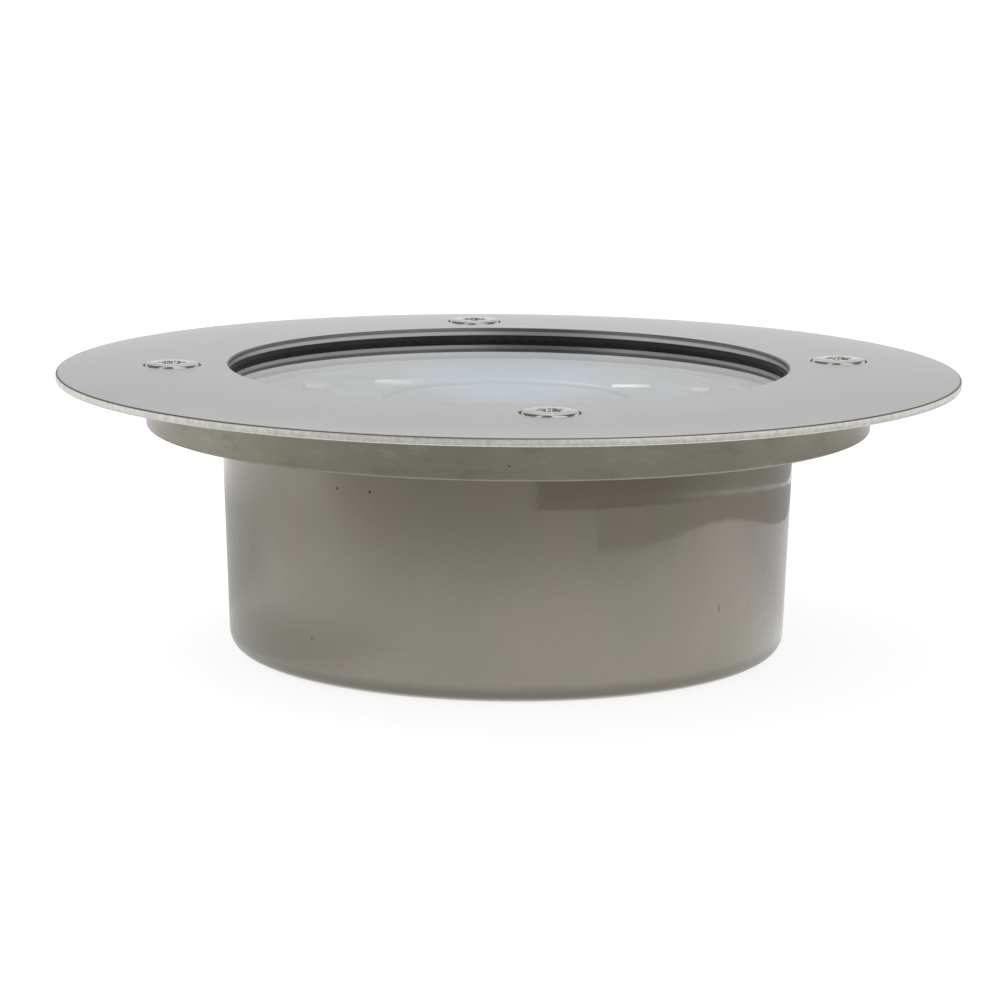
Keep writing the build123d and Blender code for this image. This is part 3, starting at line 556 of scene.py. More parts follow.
def overlay(name, mask, color, metallic=None, roughness=None):
    # lays a second colour, and if given its metal and gloss, over a finish where the mask is 1
    finish = finishes[name]
    shader = finish.node_tree.nodes["Principled BSDF"]
    for key, value in (("Base Color", color), ("Metallic", metallic), ("Roughness", roughness)):
        if value is None:
            continue
        socket = shader.inputs[key]
        under = socket.links[0].from_socket if socket.is_linked else socket.default_value
        if key == "Base Color":
            feed(finish, mixColor(finish, mask, under, value), socket)
        else:
            step = times(finish, mask, minus(finish, value, under))
            feed(finish, plus(finish, under, step), socket)


detailLook = {
    "boardTop": 7.1,
    "capacitorPlaces": [(-8.0, -28.2), (8.0, -28.2)],
    "coreHalf": 2.52,
    "bobbinTop": 0.82,
    "capacitorTop": 10.6,
    "wireHeights": (1.02, 4.98),
    "ringRadii": (8.6, 12.8),
    "damRadius": 4.82,
    "fuse": ((18.7, -0.3, None), (21.3, 6.3, None)),
    "tinnedEnds": [
        ((-11.2, 16, None), (-10.6, 18, None)), ((-8.4, 16, None), (-7.8, 18, None)),
        ((10.3, 13.5, None), (10.9, 15.5, None)), ((13.1, 13.5, None), (13.7, 15.5, None)),
        ((18.7, -0.3, None), (21.3, 0.8, None)), ((18.7, 5.2, None), (21.3, 6.3, None)),
    ],
    "bobbin": (0.02, 0.02, 0.02),
    "score": (0.12, 0.12, 0.12),
    "copper": (0.72, 0.33, 0.14),
    "tin": (0.62, 0.62, 0.60),
    "aluminium": (0.70, 0.70, 0.71),
    "ferrite": (0.045, 0.043, 0.042),
    "ceramic": (0.72, 0.70, 0.64),
    "track": (0.03, 0.20, 0.075),
    "ledTrack": (0.56, 0.57, 0.56),
    "redSleeve": (0.42, 0.02, 0.02),
    "blackSleeve": (0.018, 0.018, 0.018),
    "yellowSleeve": (0.72, 0.55, 0.03),
    "stripe": (0.55, 0.56, 0.58),
    "dam": (0.78, 0.78, 0.75),
}


def paintDetails():
    look = detailLook
    board = look["boardTop"]
    # transformer: ferrite core across the tape, black bobbin foot
    finish = finishes["yellowWindingTape"]
    half = look["coreHalf"]
    core = inBox(finish, (-half, None, None), (half, None, None))
    overlay("yellowWindingTape", core, look["ferrite"], 0.0, 0.5)
    bobbin = inBox(finish, (None, None, None), (None, None, board + look["bobbinTop"]))
    overlay("yellowWindingTape", bobbin, look["bobbin"])
    # capacitors: bare aluminium top with a scored cross, pale stripe down one side
    finish = finishes["blackCapacitorSleeve"]
    spots = look["capacitorPlaces"]
    above = inBox(finish, (None, None, board + look["capacitorTop"]), (None, None, None))
    top = times(finish, nearAxis(finish, spots, 2.55), above)
    overlay("blackCapacitorSleeve", top, look["aluminium"], 1.0, 0.3)
    for x, y in spots:
        for wide, tall in ((1.7, 0.09), (0.09, 1.7)):
            score = inBox(finish, (x - wide, y - tall, board + 10.9), (x + wide, y + tall, None))
            overlay("blackCapacitorSleeve", score, look["score"])
        stripe = inBox(finish, (x - 0.9, y - 4, None), (x + 0.9, y - 2.2, board + 10.4))
        overlay("blackCapacitorSleeve", stripe, look["stripe"], 0.0, 0.35)
    # choke: copper wire between the ferrite flanges
    finish = finishes["greyFerrite"]
    low, high = look["wireHeights"]
    wire = inBox(finish, (None, None, board + low), (None, None, board + high))
    overlay("greyFerrite", wire, look["copper"], 1.0, 0.3)
    # driver board: tracks under the mask and tinned pads
    finish = finishes["greenDriverBoard"]
    cells = addNode(finish, "TexVoronoi", distance="CHEBYCHEV", feature="F1")
    feed(finish, place(finish), cells.inputs["Vector"])
    cells.inputs["Scale"].default_value = 240
    away = cells.outputs["Distance"]
    tracks = times(finish, sums(finish, "GREATER_THAN", away, 0.36), sums(finish, "LESS_THAN", away, 0.47))
    overlay("greenDriverBoard", tracks, look["track"])
    overlay("greenDriverBoard", specks(finish, place(finish), 330, 0.9, 0.14), look["tin"], 0.9, 0.25)
    # LED board: a paler ring of copper under the mask
    finish = finishes["whiteMaskedBoard"]
    inner, outer = look["ringRadii"]
    ring = minus(finish, nearAxis(finish, [(0, 0)], outer), nearAxis(finish, [(0, 0)], inner))
    overlay("whiteMaskedBoard", ring, look["ledTrack"])
    # small parts: a pale fuse, tinned ends on the fuse and the resistors
    finish = finishes["blackChipPlastic"]
    overlay("blackChipPlastic", inBox(finish, *look["fuse"]), look["ceramic"], 0.0, 0.5)
    for low, high in look["tinnedEnds"]:
        overlay("blackChipPlastic", inBox(finish, low, high), look["tin"], 1.0, 0.3)
    # leads: one red and one black, and a yellow stripe on the earth lead
    finish = finishes["whiteLeadSleeve"]
    x, y, z = corner(finish)
    across = plus(finish, x, y)
    overlay("whiteLeadSleeve", sums(finish, "GREATER_THAN", across, 0.0), look["redSleeve"])
    overlay("whiteLeadSleeve", sums(finish, "LESS_THAN", across, 0.0), look["blackSleeve"])
    finish = finishes["greenLeadSleeve"]
    x, y, z = corner(finish)
    turn = math.radians(60)
    across = minus(finish, times(finish, x, math.sin(turn)), times(finish, y, math.cos(turn)))
    overlay("greenLeadSleeve", sums(finish, "GREATER_THAN", across, 0.0002), look["yellowSleeve"])
    # emitter: pale dam round the phosphor
    finish = finishes["yellowPhosphor"]
    overlay("yellowPhosphor", minus(finish, 1.0, nearAxis(finish, [(0, 0)], look["damRadius"])), look["dam"])


paintDetails()
for node, name in dressed.items():
    nodes[node].data.materials.clear()
    nodes[node].data.materials.append(finishes[name])
missing = sorted(set(nodes) - set(dressed))
print("finishes made:", len(finishes), "undressed nodes:", missing)


# small helpers for modelling
def deselectAll():
    if bpy.context.object and bpy.context.object.mode == "EDIT":
        bpy.ops.object.mode_set(mode="OBJECT")
    bpy.ops.object.select_all(action="DESELECT")


def activate(piece, *others):
    # selects the pieces alone, the first of them active
    deselectAll()
    for each in (piece, *others):
        each.select_set(True)
    bpy.context.view_layer.objects.active = piece


def pickVertices(test):
    # selects the vertices of the piece in edit mode whose place passes the test
    bpy.ops.mesh.select_all(action="DESELECT")
    mesh = bmesh.from_edit_mesh(bpy.context.object.data)
    for vertex in mesh.verts:
        vertex.select_set(bool(test(vertex.co)))
    mesh.select_flush_mode()
    bmesh.update_edit_mesh(bpy.context.object.data)


def growRings(name, rings, around=72, lobes=6, closeStart=True, closeEnd=True):
    # rings: (height, radius or a list of radii from a lobe's middle to the next hollow's middle), in mm
    deselectAll()
    bpy.ops.mesh.primitive_circle_add(
        vertices=around, radius=1.0 * mm, fill_type="NOTHING", location=(0, 0, 0)
    )
    piece = bpy.context.object
    piece.name = name
    bpy.ops.object.mode_set(mode="EDIT")
    bpy.ops.mesh.select_all(action="SELECT")
    half = around // lobes // 2
    last = [1.0] * (half + 1)
    lastHeight = 0.0
    for index, (height, radius) in enumerate(rings):
        if index == 0:
            bpy.ops.transform.translate(value=(0, 0, (height - lastHeight) * mm))
        else:
            bpy.ops.mesh.extrude_region_move(
                TRANSFORM_OT_translate={"value": (0, 0, (height - lastHeight) * mm)}
            )
        lastHeight = height
        wanted = radius if isinstance(radius, list) else [radius] * (half + 1)
        ratios = [new / old for new, old in zip(wanted, last)]
        if max(ratios) - min(ratios) < 1e-9:
            bpy.ops.transform.resize(value=(ratios[0], ratios[0], 1), center_override=(0, 0, height * mm))
        else:
            mesh = bmesh.from_edit_mesh(piece.data)
            ring = [v.index for v in mesh.verts if v.select]
            step = 2 * math.pi / around
            for level, ratio in enumerate(ratios):
                mesh = bmesh.from_edit_mesh(piece.data)
                mesh.verts.ensure_lookup_table()
                bpy.ops.mesh.select_all(action="DESELECT")
                for number in ring:
                    vertex = mesh.verts[number]
                    turn = round(math.atan2(vertex.co.y, vertex.co.x) / step) % (2 * half)
                    vertex.select_set(min(turn, 2 * half - turn) == level)
                bmesh.update_edit_mesh(piece.data)
                bpy.ops.transform.resize(value=(ratio, ratio, 1), center_override=(0, 0, height * mm))
            mesh = bmesh.from_edit_mesh(piece.data)
            mesh.verts.ensure_lookup_table()
            for number in ring:
                mesh.verts[number].select_set(True)
            mesh.select_flush_mode()
            bmesh.update_edit_mesh(piece.data)
        last = wanted
        if index == 0 and closeStart:
            bpy.ops.mesh.edge_face_add()
            bpy.ops.mesh.select_all(action="SELECT")
    if closeEnd:
        bpy.ops.mesh.edge_face_add()
    bpy.ops.mesh.select_all(action="SELECT")
    bpy.ops.mesh.normals_make_consistent(inside=False)
    bpy.ops.object.mode_set(mode="OBJECT")
    return piece


def turnRing(name, profile, around=288, lobes=1):
    # a closed ring turned from a profile of (radius or lobe radii, height) points in mm
    rings = [(height, radius) for radius, height in profile + profile[:1]]
    piece = growRings(name, rings, around, lobes, False, False)
    bpy.ops.object.mode_set(mode="EDIT")
    bpy.ops.mesh.select_all(action="SELECT")
    bpy.ops.mesh.remove_doubles(threshold=0.002 * mm)
    bpy.ops.mesh.normals_make_consistent(inside=False)
    bpy.ops.object.mode_set(mode="OBJECT")
    return piece


def arcPoints(middle, radius, start, end, steps):
    # points on an arc in the profile's plane, from one angle to another in degrees
    points = []
    for step in range(steps + 1):
        angle = math.radians(start + (end - start) * step / steps)
        points.append((middle[0] + radius * math.cos(angle), middle[1] + radius * math.sin(angle)))
    return points


def carve(piece, *cutters):
    # cuts the cutters out of the piece and throws them away
    for cutter in cutters:
        activate(piece)
        cut = piece.modifiers.new("cut", "BOOLEAN")
        cut.operation = "DIFFERENCE"
        cut.solver = "EXACT"
        cut.object = cutter
        bpy.ops.object.modifier_apply(modifier=cut.name)
        bpy.data.objects.remove(cutter)


def makeThread(name, radius, core, pitch, turns, start):
    # a trapezoid ridge turned up a shank by a Screw modifier
    deselectAll()
    bpy.ops.mesh.primitive_plane_add(size=pitch * mm, location=(0, 0, 0), rotation=(math.pi / 2, 0, 0))
    thread = bpy.context.object
    thread.name = name
    bpy.ops.object.transform_apply(location=False, rotation=True, scale=False)
    bpy.ops.object.mode_set(mode="EDIT")
    bpy.ops.mesh.delete(type="ONLY_FACE")
    pickVertices(lambda co: co.x > 0)
    bpy.ops.transform.resize(value=(1, 1, 0.18), center_override=(0, 0, 0))
    bpy.ops.mesh.select_all(action="SELECT")
    depth = radius - core + 0.08
    bpy.ops.transform.resize(value=(depth / pitch, 1, 1), center_override=(0, 0, 0))
    bpy.ops.transform.translate(value=((radius - depth / 2) * mm, 0, start * mm))
    bpy.ops.object.mode_set(mode="OBJECT")
    coil = thread.modifiers.new("coil", "SCREW")
    coil.screw_offset = pitch * mm
    coil.iterations = turns
    coil.steps = 24
    coil.render_steps = 24
    bpy.ops.object.modifier_apply(modifier=coil.name)
    bpy.ops.object.mode_set(mode="EDIT")
    bpy.ops.mesh.select_all(action="SELECT")
    bpy.ops.mesh.fill_holes(sides=4)
    bpy.ops.mesh.select_all(action="SELECT")
    bpy.ops.mesh.normals_make_consistent(inside=False)
    bpy.ops.object.mode_set(mode="OBJECT")
    return thread


def joinTo(piece, *others):
    activate(piece, *others)
    bpy.ops.object.join()


def screwPlaces(height):
    reach = screwLook["circleRadius"]
    for index in range(4):
        angle = math.radians(screwLook["startAngle"] + 90 * index)
        yield (reach * math.cos(angle), reach * math.sin(angle), height)


def moveTo(piece, spot):
    activate(piece)
    bpy.ops.transform.translate(value=[step * mm for step in spot])
    bpy.ops.object.transform_apply(location=True, rotation=False, scale=False)


def smoothShade(piece, angle=32):
    activate(piece)
    bpy.ops.object.shade_smooth_by_angle(angle=math.radians(angle))


def settle(piece, body, slot, finish, *replaced):
    # applies the piece's place to its mesh, gives it its finish and hangs it on its body
    activate(piece)
    bpy.ops.object.transform_apply(location=True, rotation=True, scale=True)
    piece.data.materials.clear()
    piece.data.materials.append(finishes[finish])
    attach(piece, body)
    if replaced:
        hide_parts(*replaced)


# face plate: flat over the flange, dished at its rim
faceLook = {
    "top": 47.7,
    "under": 46.4,
    "windowRadius": 46.6,
    "windowRound": 0.3,
    "flatRadius": 59.9,
    "rimRadius": 75.0,
    "rimDrop": 0.95,
    "rimRound": 0.32,
    "sinkRadius": 4.85,
}


def makePlate():
    look = faceLook
    top, under, edge = look["top"], look["under"], look["rimRound"]
    run, drop = look["rimRadius"] - look["flatRadius"], look["rimDrop"]
    bend = (run * run + drop * drop) / (2 * drop)
    lean = math.degrees(math.asin(run / bend))
    dish = arcPoints((look["flatRadius"], top - bend), bend, 90, 90 - lean * 0.975, 12)
    rimTop = top - drop
    rimUnder = under - drop
    profile = [(look["windowRadius"], under)]
    soft = look["windowRound"]
    profile += arcPoints((look["windowRadius"] + soft, top - soft), soft, 180, 90, 5)
    profile += dish
    profile += arcPoints((look["rimRadius"] - edge, rimTop - edge + 0.03), edge, 80, 0, 5)
    profile += arcPoints((look["rimRadius"] - edge, rimUnder + edge), edge, 0, -84, 5)
    profile += [(radius, height - top + under) for radius, height in reversed(dish)]
    plate = turnRing("facePlate", profile)
    for x, y, z in screwPlaces(top):
        deselectAll()
        sink = look["sinkRadius"]
        bpy.ops.mesh.primitive_cone_add(
            vertices=96, radius1=(sink - 3.2) * mm, radius2=(sink + 0.4) * mm, depth=3.6 * mm,
            location=(x * mm, y * mm, (z + 0.4 - 1.8) * mm),
        )
        carve(plate, bpy.context.object)
    smoothShade(plate, 40)
    settle(plate, "face", "plate_steel", "brushedPlateSteel", "face_plate")


# flange: turned ring with a recess for the glass and four tapped holes
seatLook = {
    "bore": 47.66,
    "under": 37.8,
    "top": 46.4,
    "outerRadius": 60.2,
    "lowerRound": 0.4,
    "upperChamfer": 0.3,
    "recessRadius": 51.5,
    "ledge": 39.7,
    "sinkRadius": 3.55,
    "holeRadius": 2.56,
    "holeDepth": 7.2,
}


def makeFlange():
    look = seatLook
    soft = look["lowerRound"]
    outer, top, under = look["outerRadius"], look["top"], look["under"]
    profile = [(look["bore"], look["ledge"] - 0.02), (look["bore"], under)]
    profile += arcPoints((outer - soft, under + soft), soft, -90, 0, 8)
    profile += [
        (outer, top - look["upperChamfer"]),
        (outer - look["upperChamfer"], top),
        (look["recessRadius"] + 0.25, top),
        (look["recessRadius"], top - 0.25),
        (look["recessRadius"], look["ledge"] + 0.3),
        (look["recessRadius"] - 0.3, look["ledge"]),
        (look["bore"] + 0.3, look["ledge"]),
    ]
    flange = turnRing("seatFlange", profile)
    hole = [
        (top + 0.4, look["sinkRadius"] + 0.4),
        (top - look["sinkRadius"] + look["holeRadius"], look["holeRadius"]),
        (top - look["holeDepth"], look["holeRadius"]),
    ]
    for x, y, z in screwPlaces(0):
        cutter = growRings("flangeHole", hole, 48, 1)
        moveTo(cutter, (x, y, z))
        carve(flange, cutter)
    smoothShade(flange, 40)
    settle(flange, "housing", "flange_alloy", "turnedFlangeAlloy", "seat_flange")


makePlate()
makeFlange()
print("plate and flange made")


def starOutline():
    # radii for rows of 5 degrees from a lobe's middle: the round lobe, then the soft hollow beside it
    radius, offset = screwLook["lobeRadius"], screwLook["lobeOffset"]
    lobe = []
    for row in range(4):
        turn = math.radians(5 * row)
        lobe.append(offset * math.cos(turn) + math.sqrt(radius ** 2 - (offset * math.sin(turn)) ** 2))
    return lobe + screwLook["hollowRadii"]


def makeScrew():
    look = screwLook
    star = starOutline()

    def starAt(scale):
        return [radius * scale for radius in star]

    rings = [
        (-0.75, 0.25),
        (-0.52, starAt(0.72)),
        (-0.40, starAt(0.80)),
        (0.38, starAt(0.975)),
        (0.49, starAt(1.015)),
        (0.525, starAt(1.06)),
        (0.528, 2.60),
        (0.522, 3.0),
        (0.502, 3.55),
        (0.465, 3.93),
        (0.405, 4.15),
        (0.310, 4.28),
        (0.160, 4.375),
        (0.010, 4.445),
        (-0.12, look["headRadius"]),
        (-0.15, look["headRadius"]),
        (-2.05, 2.60),
        (-2.32, look["coreRadius"]),
        (-7.45, look["coreRadius"]),
        (-8.0, 1.5),
    ]
    screw = growRings("faceScrew", rings)
    radius, core = look["threadRadius"], look["coreRadius"]
    thread = makeThread("screwThread", radius, core, look["pitch"], look["threadTurns"], look["threadStart"])
    joinTo(screw, thread)
    smoothShade(screw, 35)
    return screw


model = makeScrew()
for index, side in enumerate(("right", "back", "left", "front")):
    activate(model)
    bpy.ops.object.duplicate()
    screw = bpy.context.object
    screw.name = side + "FaceScrew"
    angle = math.radians(screwLook["startAngle"] + 90 * index)
    reach = screwLook["circleRadius"] * mm
    screw.location = (reach * math.cos(angle), reach * math.sin(angle), screwLook["height"] * mm)
    screw.rotation_euler = (0, 0, math.radians(screwLook["starTurns"][index]))
    settle(screw, side + "_screw", "screw_steel", "polishedScrewSteel", "face_screw_" + side)
bpy.data.objects.remove(model)
print("face screws made")


# cable gland on the rear wall, its axis towards +Y: heights below are along that axis, in mm
glandLook = {
    "face": 48.132,
    "axisHeight": 20.5,
    "hex": 10.0,
    "chamferRadius": 10.45,
    "bore": 4.8,
    "seatRadius": 6.55,
    "spigotRadius": 8.5,
    "threadRadius": 8.0,
    "threadCore": 7.25,
    "pitch": 1.5,
    "locknutHex": 11.0,
    "locknutStart": -8.6,
    "bodyStart": 1.2,
    "nutStart": 6.6,
}


def hexAt(apothem, cap=None):
    # radii from a hexagon's corner to the middle of its flat, for seven rows of 5 degrees
    radii = [apothem / math.cos(math.radians(30 - 5 * row)) for row in range(7)]
    return [min(radius, cap) for radius in radii] if cap else radii


def onGland(piece, start):
    piece.rotation_euler = (-math.pi / 2, 0, 0)
    piece.location = (0, (glandLook["face"] + start) * mm, glandLook["axisHeight"] * mm)


def makeGland():
    look = glandLook
    hexagon, soft, bore = look["hex"], look["chamferRadius"], look["bore"]
    seat, spigot, thread = look["seatRadius"], look["spigotRadius"], look["threadRadius"]
    core = look["threadCore"]
    body = turnRing("glandBody", [
        (bore + 0.4, -11.2), (core - 0.3, -11.2), (core, -10.9), (core, -1.0),
        (thread - 0.1, -0.6), (thread - 0.1, 0.0), (hexAt(hexagon, soft - 0.3), 0.0), (hexAt(hexagon), 0.45),
        (hexAt(hexagon), 4.45), (hexAt(hexagon, soft - 0.3), 5.0),
        (spigot - 0.15, 5.0), (spigot - 0.7, 5.3), (spigot - 0.7, 10.7), (spigot - 1.0, 11.0),
        (seat + 0.3, 11.0), (seat, 10.7), (seat, 6.0), (bore + 0.2, 6.0), (bore, 5.8), (bore, -10.8),
    ], 72, 6)
    inner = makeThread("glandThread", thread, core, look["pitch"], 6, -10.2)
    outer = makeThread("glandTopThread", spigot, spigot - 0.7, look["pitch"], 3, 6.1)
    joinTo(body, inner, outer)
    smoothShade(body, 35)
    onGland(body, look["bodyStart"])
    settle(body, "housing", "gland_brass", "nickelledGland", "gland_body")
    wide = look["locknutHex"]
    locknut = turnRing("glandLocknut", [
        (thread + 0.35, 0.0), (hexAt(wide, wide + 0.15), 0.0), (hexAt(wide), 0.5), (hexAt(wide), 2.5),
        (hexAt(wide, wide + 0.15), 3.0), (thread + 0.35, 3.0), (thread + 0.04, 2.7), (thread + 0.04, 0.3),
    ], 72, 6)
    smoothShade(locknut, 35)
    onGland(locknut, look["locknutStart"])
    settle(locknut, "housing", "gland_brass", "nickelledGland", "gland_locknut")
    corner = hexagon / math.cos(math.radians(30))
    dome = []
    for height in (8.0, 8.5, 9.0, 9.45, 9.9, 10.5, 11.2, 11.9, 12.45):
        dome.append((hexAt(hexagon, corner - (height - 8.0) * 0.829), height))
    nut = turnRing("glandNut", [
        (spigot + 0.5, 0.0), (hexAt(hexagon, soft), 0.0), (hexAt(hexagon), 0.75),
    ] + dome + [
        (7.58, 12.75), (7.35, 12.93), (7.0, 13.0), (5.35, 13.0), (4.95, 12.85), (bore, 12.5), (bore, 8.95),
        (6.85, 8.95), (6.85, 5.95), (spigot + 0.06, 5.95), (spigot + 0.06, 0.45),
    ], 72, 6)
    smoothShade(nut, 30)
    onGland(nut, look["nutStart"])
    settle(nut, "clamp_nut", "gland_brass", "nickelledGland", "gland_nut")


makeGland()
print("gland made")


# choke, capacitors, transformer and emitter, which the plain solids only block out
innerLook = {
    "chokePlace": (17.5, -11.0),
    "wireTurns": 8,
    "wireRound": [(0.05, 3.08), (0.25, 3.22), (0.5, 3.27), (0.75, 3.22), (0.95, 3.08)],
    "emitterFoot": 23.4,
    "transformerPlace": -18.5,
    "transformerBlocks": [
        ("bobbinFoot", (13.0, 11.0), 7.1, 7.9, 0.12),
        ("tapedWinding", (11.4, 9.4), 7.85, 13.3, 0.9),
        ("coreLegFront", (5.0, 11.0), 7.9, 14.1, 0.15),
    ],
}


def raised(level, points):
    return [(level + rise, radius) for rise, radius in points]


def makeInnerPieces():
    look = innerLook
    board = detailLook["boardTop"]
    turns = []
    pitch = 4.0 / look["wireTurns"]
    for turn in range(look["wireTurns"]):
        low = board + 1.0 + turn * pitch
        turns += [(low + pitch * share, radius) for share, radius in look["wireRound"]]
    choke = growRings("driverChoke", raised(board, [
        (0, 3.7), (0.2, 3.95), (0.35, 4.0), (0.75, 4.0), (0.98, 3.9), (1.0, 3.1),
    ]) + turns + raised(board, [
        (5.0, 3.1), (5.02, 3.9), (5.25, 4.0), (5.75, 4.0), (5.95, 3.85), (6.0, 3.6), (5.85, 1.4),
    ]), 48, 1)
    choke.location = [step * mm for step in (*look["chokePlace"], 0)]
    smoothShade(choke, 40)
    settle(choke, "housing", "ferrite", "greyFerrite", "driver_choke")
    cans = []
    for index, (x, y) in enumerate(detailLook["capacitorPlaces"]):
        can = growRings("capacitor%d" % (index + 1), raised(board, [
            (0, 2.7), (0.12, 2.95), (0.35, 3.1), (1.0, 3.13), (1.35, 3.0), (1.55, 2.93), (1.75, 3.0),
            (2.1, 3.13), (10.3, 3.14), (10.7, 3.05), (10.9, 2.85), (11.0, 2.65), (10.93, 2.5), (10.9, 1.0),
        ]), 48, 1)
        moveTo(can, (x, y, 0))
        cans.append(can)
    joinTo(cans[0], *cans[1:])
    smoothShade(cans[0], 40)
    settle(cans[0], "housing", "capacitor_sleeve", "blackCapacitorSleeve", "driver_capacitors")
    blocks = []
    for name, size, low, high, soft in look["transformerBlocks"]:
        deselectAll()
        middle = (0, look["transformerPlace"] * mm, (low + high) / 2 * mm)
        bpy.ops.mesh.primitive_cube_add(size=1.0, location=middle)
        block = bpy.context.object
        block.name = name
        block.scale = (size[0] * mm, size[1] * mm, (high - low) * mm)
        bpy.ops.object.transform_apply(location=True, rotation=False, scale=True)
        bpy.ops.object.mode_set(mode="EDIT")
        bpy.ops.mesh.select_all(action="SELECT")
        bpy.ops.mesh.bevel(offset=soft * mm, segments=3, affect="EDGES")
        bpy.ops.object.mode_set(mode="OBJECT")
        blocks.append(block)
    joinTo(blocks[0], *blocks[1:])
    smoothShade(blocks[0], 40)
    settle(blocks[0], "housing", "transformer_tape", "yellowWindingTape", "driver_transformer")
    emitter = growRings("ledEmitter", raised(look["emitterFoot"], [
        (0, 5.6), (0.35, 5.58), (0.58, 5.42), (0.69, 5.2), (0.7, 5.05),
        (0.64, 4.9), (0.52, 4.82), (0.50, 4.6), (0.52, 3.0), (0.53, 1.0),
    ]), 64, 1)
    smoothShade(emitter, 50)
    settle(emitter, "housing", "phosphor", "yellowPhosphor", "led_emitter")


makeInnerPieces()
print("inner pieces made")


# floor, world and lamp
studio = {
    "floorColor": (0.36, 0.36, 0.36),
    "floorGlow": 0.80,
    "floorDrop": 0.00005,
    "skyLight": 0.80,
    "lampPlace": (-0.45, 0.25, 1.0),
    "lampSize": 0.9,
    "lampPower": 3.6,
}


def makeStudio():
    deselectAll()
    bpy.ops.mesh.primitive_plane_add(size=12.0, location=(0, 0, -studio["floorDrop"]))
    floor = bpy.context.object
    floor.name = "studioFloor"
    finish = bpy.data.materials.new("paleStudioFloor")
    finish.use_nodes = True
    finish.node_tree.nodes.remove(finish.node_tree.nodes["Principled BSDF"])
    seen = plainlySeen(finish)
    matt = addNode(finish, "BsdfDiffuse")
    matt.inputs["Color"].default_value = (*studio["floorColor"], 1)
    glow = addNode(finish, "Emission")
    feed(finish, times(finish, seen, studio["floorGlow"]), glow.inputs["Strength"])
    both = addNode(finish, "AddShader")
    feed(finish, matt.outputs[0], both.inputs[0])
    feed(finish, glow.outputs[0], both.inputs[1])
    feed(finish, both.outputs[0], surface(finish))
    floor.data.materials.append(finish)

    world = bpy.data.worlds.new("studioWorld")
    bpy.context.scene.world = world
    world.use_nodes = True
    sky = world.node_tree.nodes["Background"]
    sky.inputs["Color"].default_value = (1, 1, 1, 1)
    feed(world, ramp(world, plainlySeen(world), 0, 1, studio["skyLight"], 1.0), sky.inputs["Strength"])

    bpy.ops.object.light_add(type="AREA", location=studio["lampPlace"])
    lamp = bpy.context.object
    lamp.name = "softLamp"
    lamp.data.shape = "SQUARE"
    lamp.data.size = studio["lampSize"]
    lamp.data.energy = studio["lampPower"]
    lamp.rotation_euler = (-Vector(studio["lampPlace"])).to_track_quat("-Z", "Y").to_euler()
    lamp.visible_glossy = False


# what only glossy surfaces mirror: a table that is dark in front of the can, a darker sheet lying at
# its right, a grey wall behind, and the dark room round the camera with gaps of light
cardLook = {
    "tableInner": 0.0452,
    "tableNear": 0.97,
    "tableOuter": 1.6,
    "tableDark": 0.20,
    "tableFar": 1.0,
    "footDark": 0.36,
    "behindDark": (0.45, 0.26),
    "contactDark": 0.40,
    "leftDark": 0.34,
    "contactRadii": (0.053, 0.046),
    "footSide": (-0.030, -0.050),
    "footRadii": (0.092, 0.064),
    "behindBack": (-0.017, 0.033),
    "behindSide": (-0.03, 0.03),
    "behindRadii": (0.20, 0.15),
    "leftSide": (-0.095, -0.145),
    "leftRadii": (0.21, 0.16),
    "darkFrom": 0.085,
    "darkFull": 0.175,
    "farFrom": 0.215,
    "farFull": 0.32,
    "frontFrom": -0.02,
    "frontFull": -0.12,
    "sheetColor": 0.06,
    "sheetNear": {
        "corner": [], "angles": (30, 157), "radius": 136, "swell": 15,
        "riseFrom": 136, "rise": 0.073,
    },
    "sheetFar": {
        "corner": [(11, 190), (13, 173), (20, 172)], "angles": (30, 158), "radius": 176, "swell": 0,
        "riseFrom": 142, "rise": 0.133,
    },
    "swellAngles": (38, 128),
    "sheetSteps": 14,
    "sheetSlot": (173.5, 176),
    "sheetEnd": 0.45,
    "sheetOuter": 235,
    "sheetHeight": 0.0008,
    "sheetFade": (-8, 66),
    "wallGlow": (0.98, 0.62),
    "wallFade": (0.27, 0.36),
    "wallPlace": (0, 2.0, 0.45),
    "wallSize": (3.6, 0.9),
    "roomGlow": 0.19,
    "roomRadius": 1.5,
    "roomHeight": 1.9,
    "roofInner": 0.12,
    "roomPanels": [(-148, -64, 0.45), (-40, 10, 0.12), (78, 150, 0.60)],
    "wallSpot": {"place": (0.004, 0.325), "half": (0.090, 0.024), "glow": (0.75, 0.79, 0.85)},
    "stripGlow": (1.0, 1.35),
    "strips": [(-0.079, 0.3285, 0.036), (0.089, 0.3300, 0.028)],
    "stripThickness": 0.0022,
    "stripMiddle": 0.084,
    "stripFade": (0.019, 0.005),
}


def onlyMirrored(card):
    card.visible_camera = False
    card.visible_diffuse = False
    card.visible_shadow = False
    card.visible_transmission = False
    card.visible_volume_scatter = False


def glowFinish(name, strength):
    finish = bpy.data.materials.new(name)
    finish.use_nodes = True
    finish.node_tree.nodes.remove(finish.node_tree.nodes["Principled BSDF"])
    glow = addNode(finish, "Emission")
    glow.inputs["Strength"].default_value = strength
    feed(finish, glow.outputs[0], surface(finish))
    return finish, glow


def keepAngles(card, first, last):
    # deletes the faces outside two angles, counted from the front towards the right
    bpy.ops.mesh.select_all(action="DESELECT")
    mesh = bmesh.from_edit_mesh(card.data)
    for face in mesh.faces:
        middle = face.calc_center_median()
        angle = math.degrees(math.atan2(middle.x, -middle.y))
        face.select_set(not first < angle < last)
    bmesh.update_edit_mesh(card.data)
    bpy.ops.mesh.delete(type="FACE")


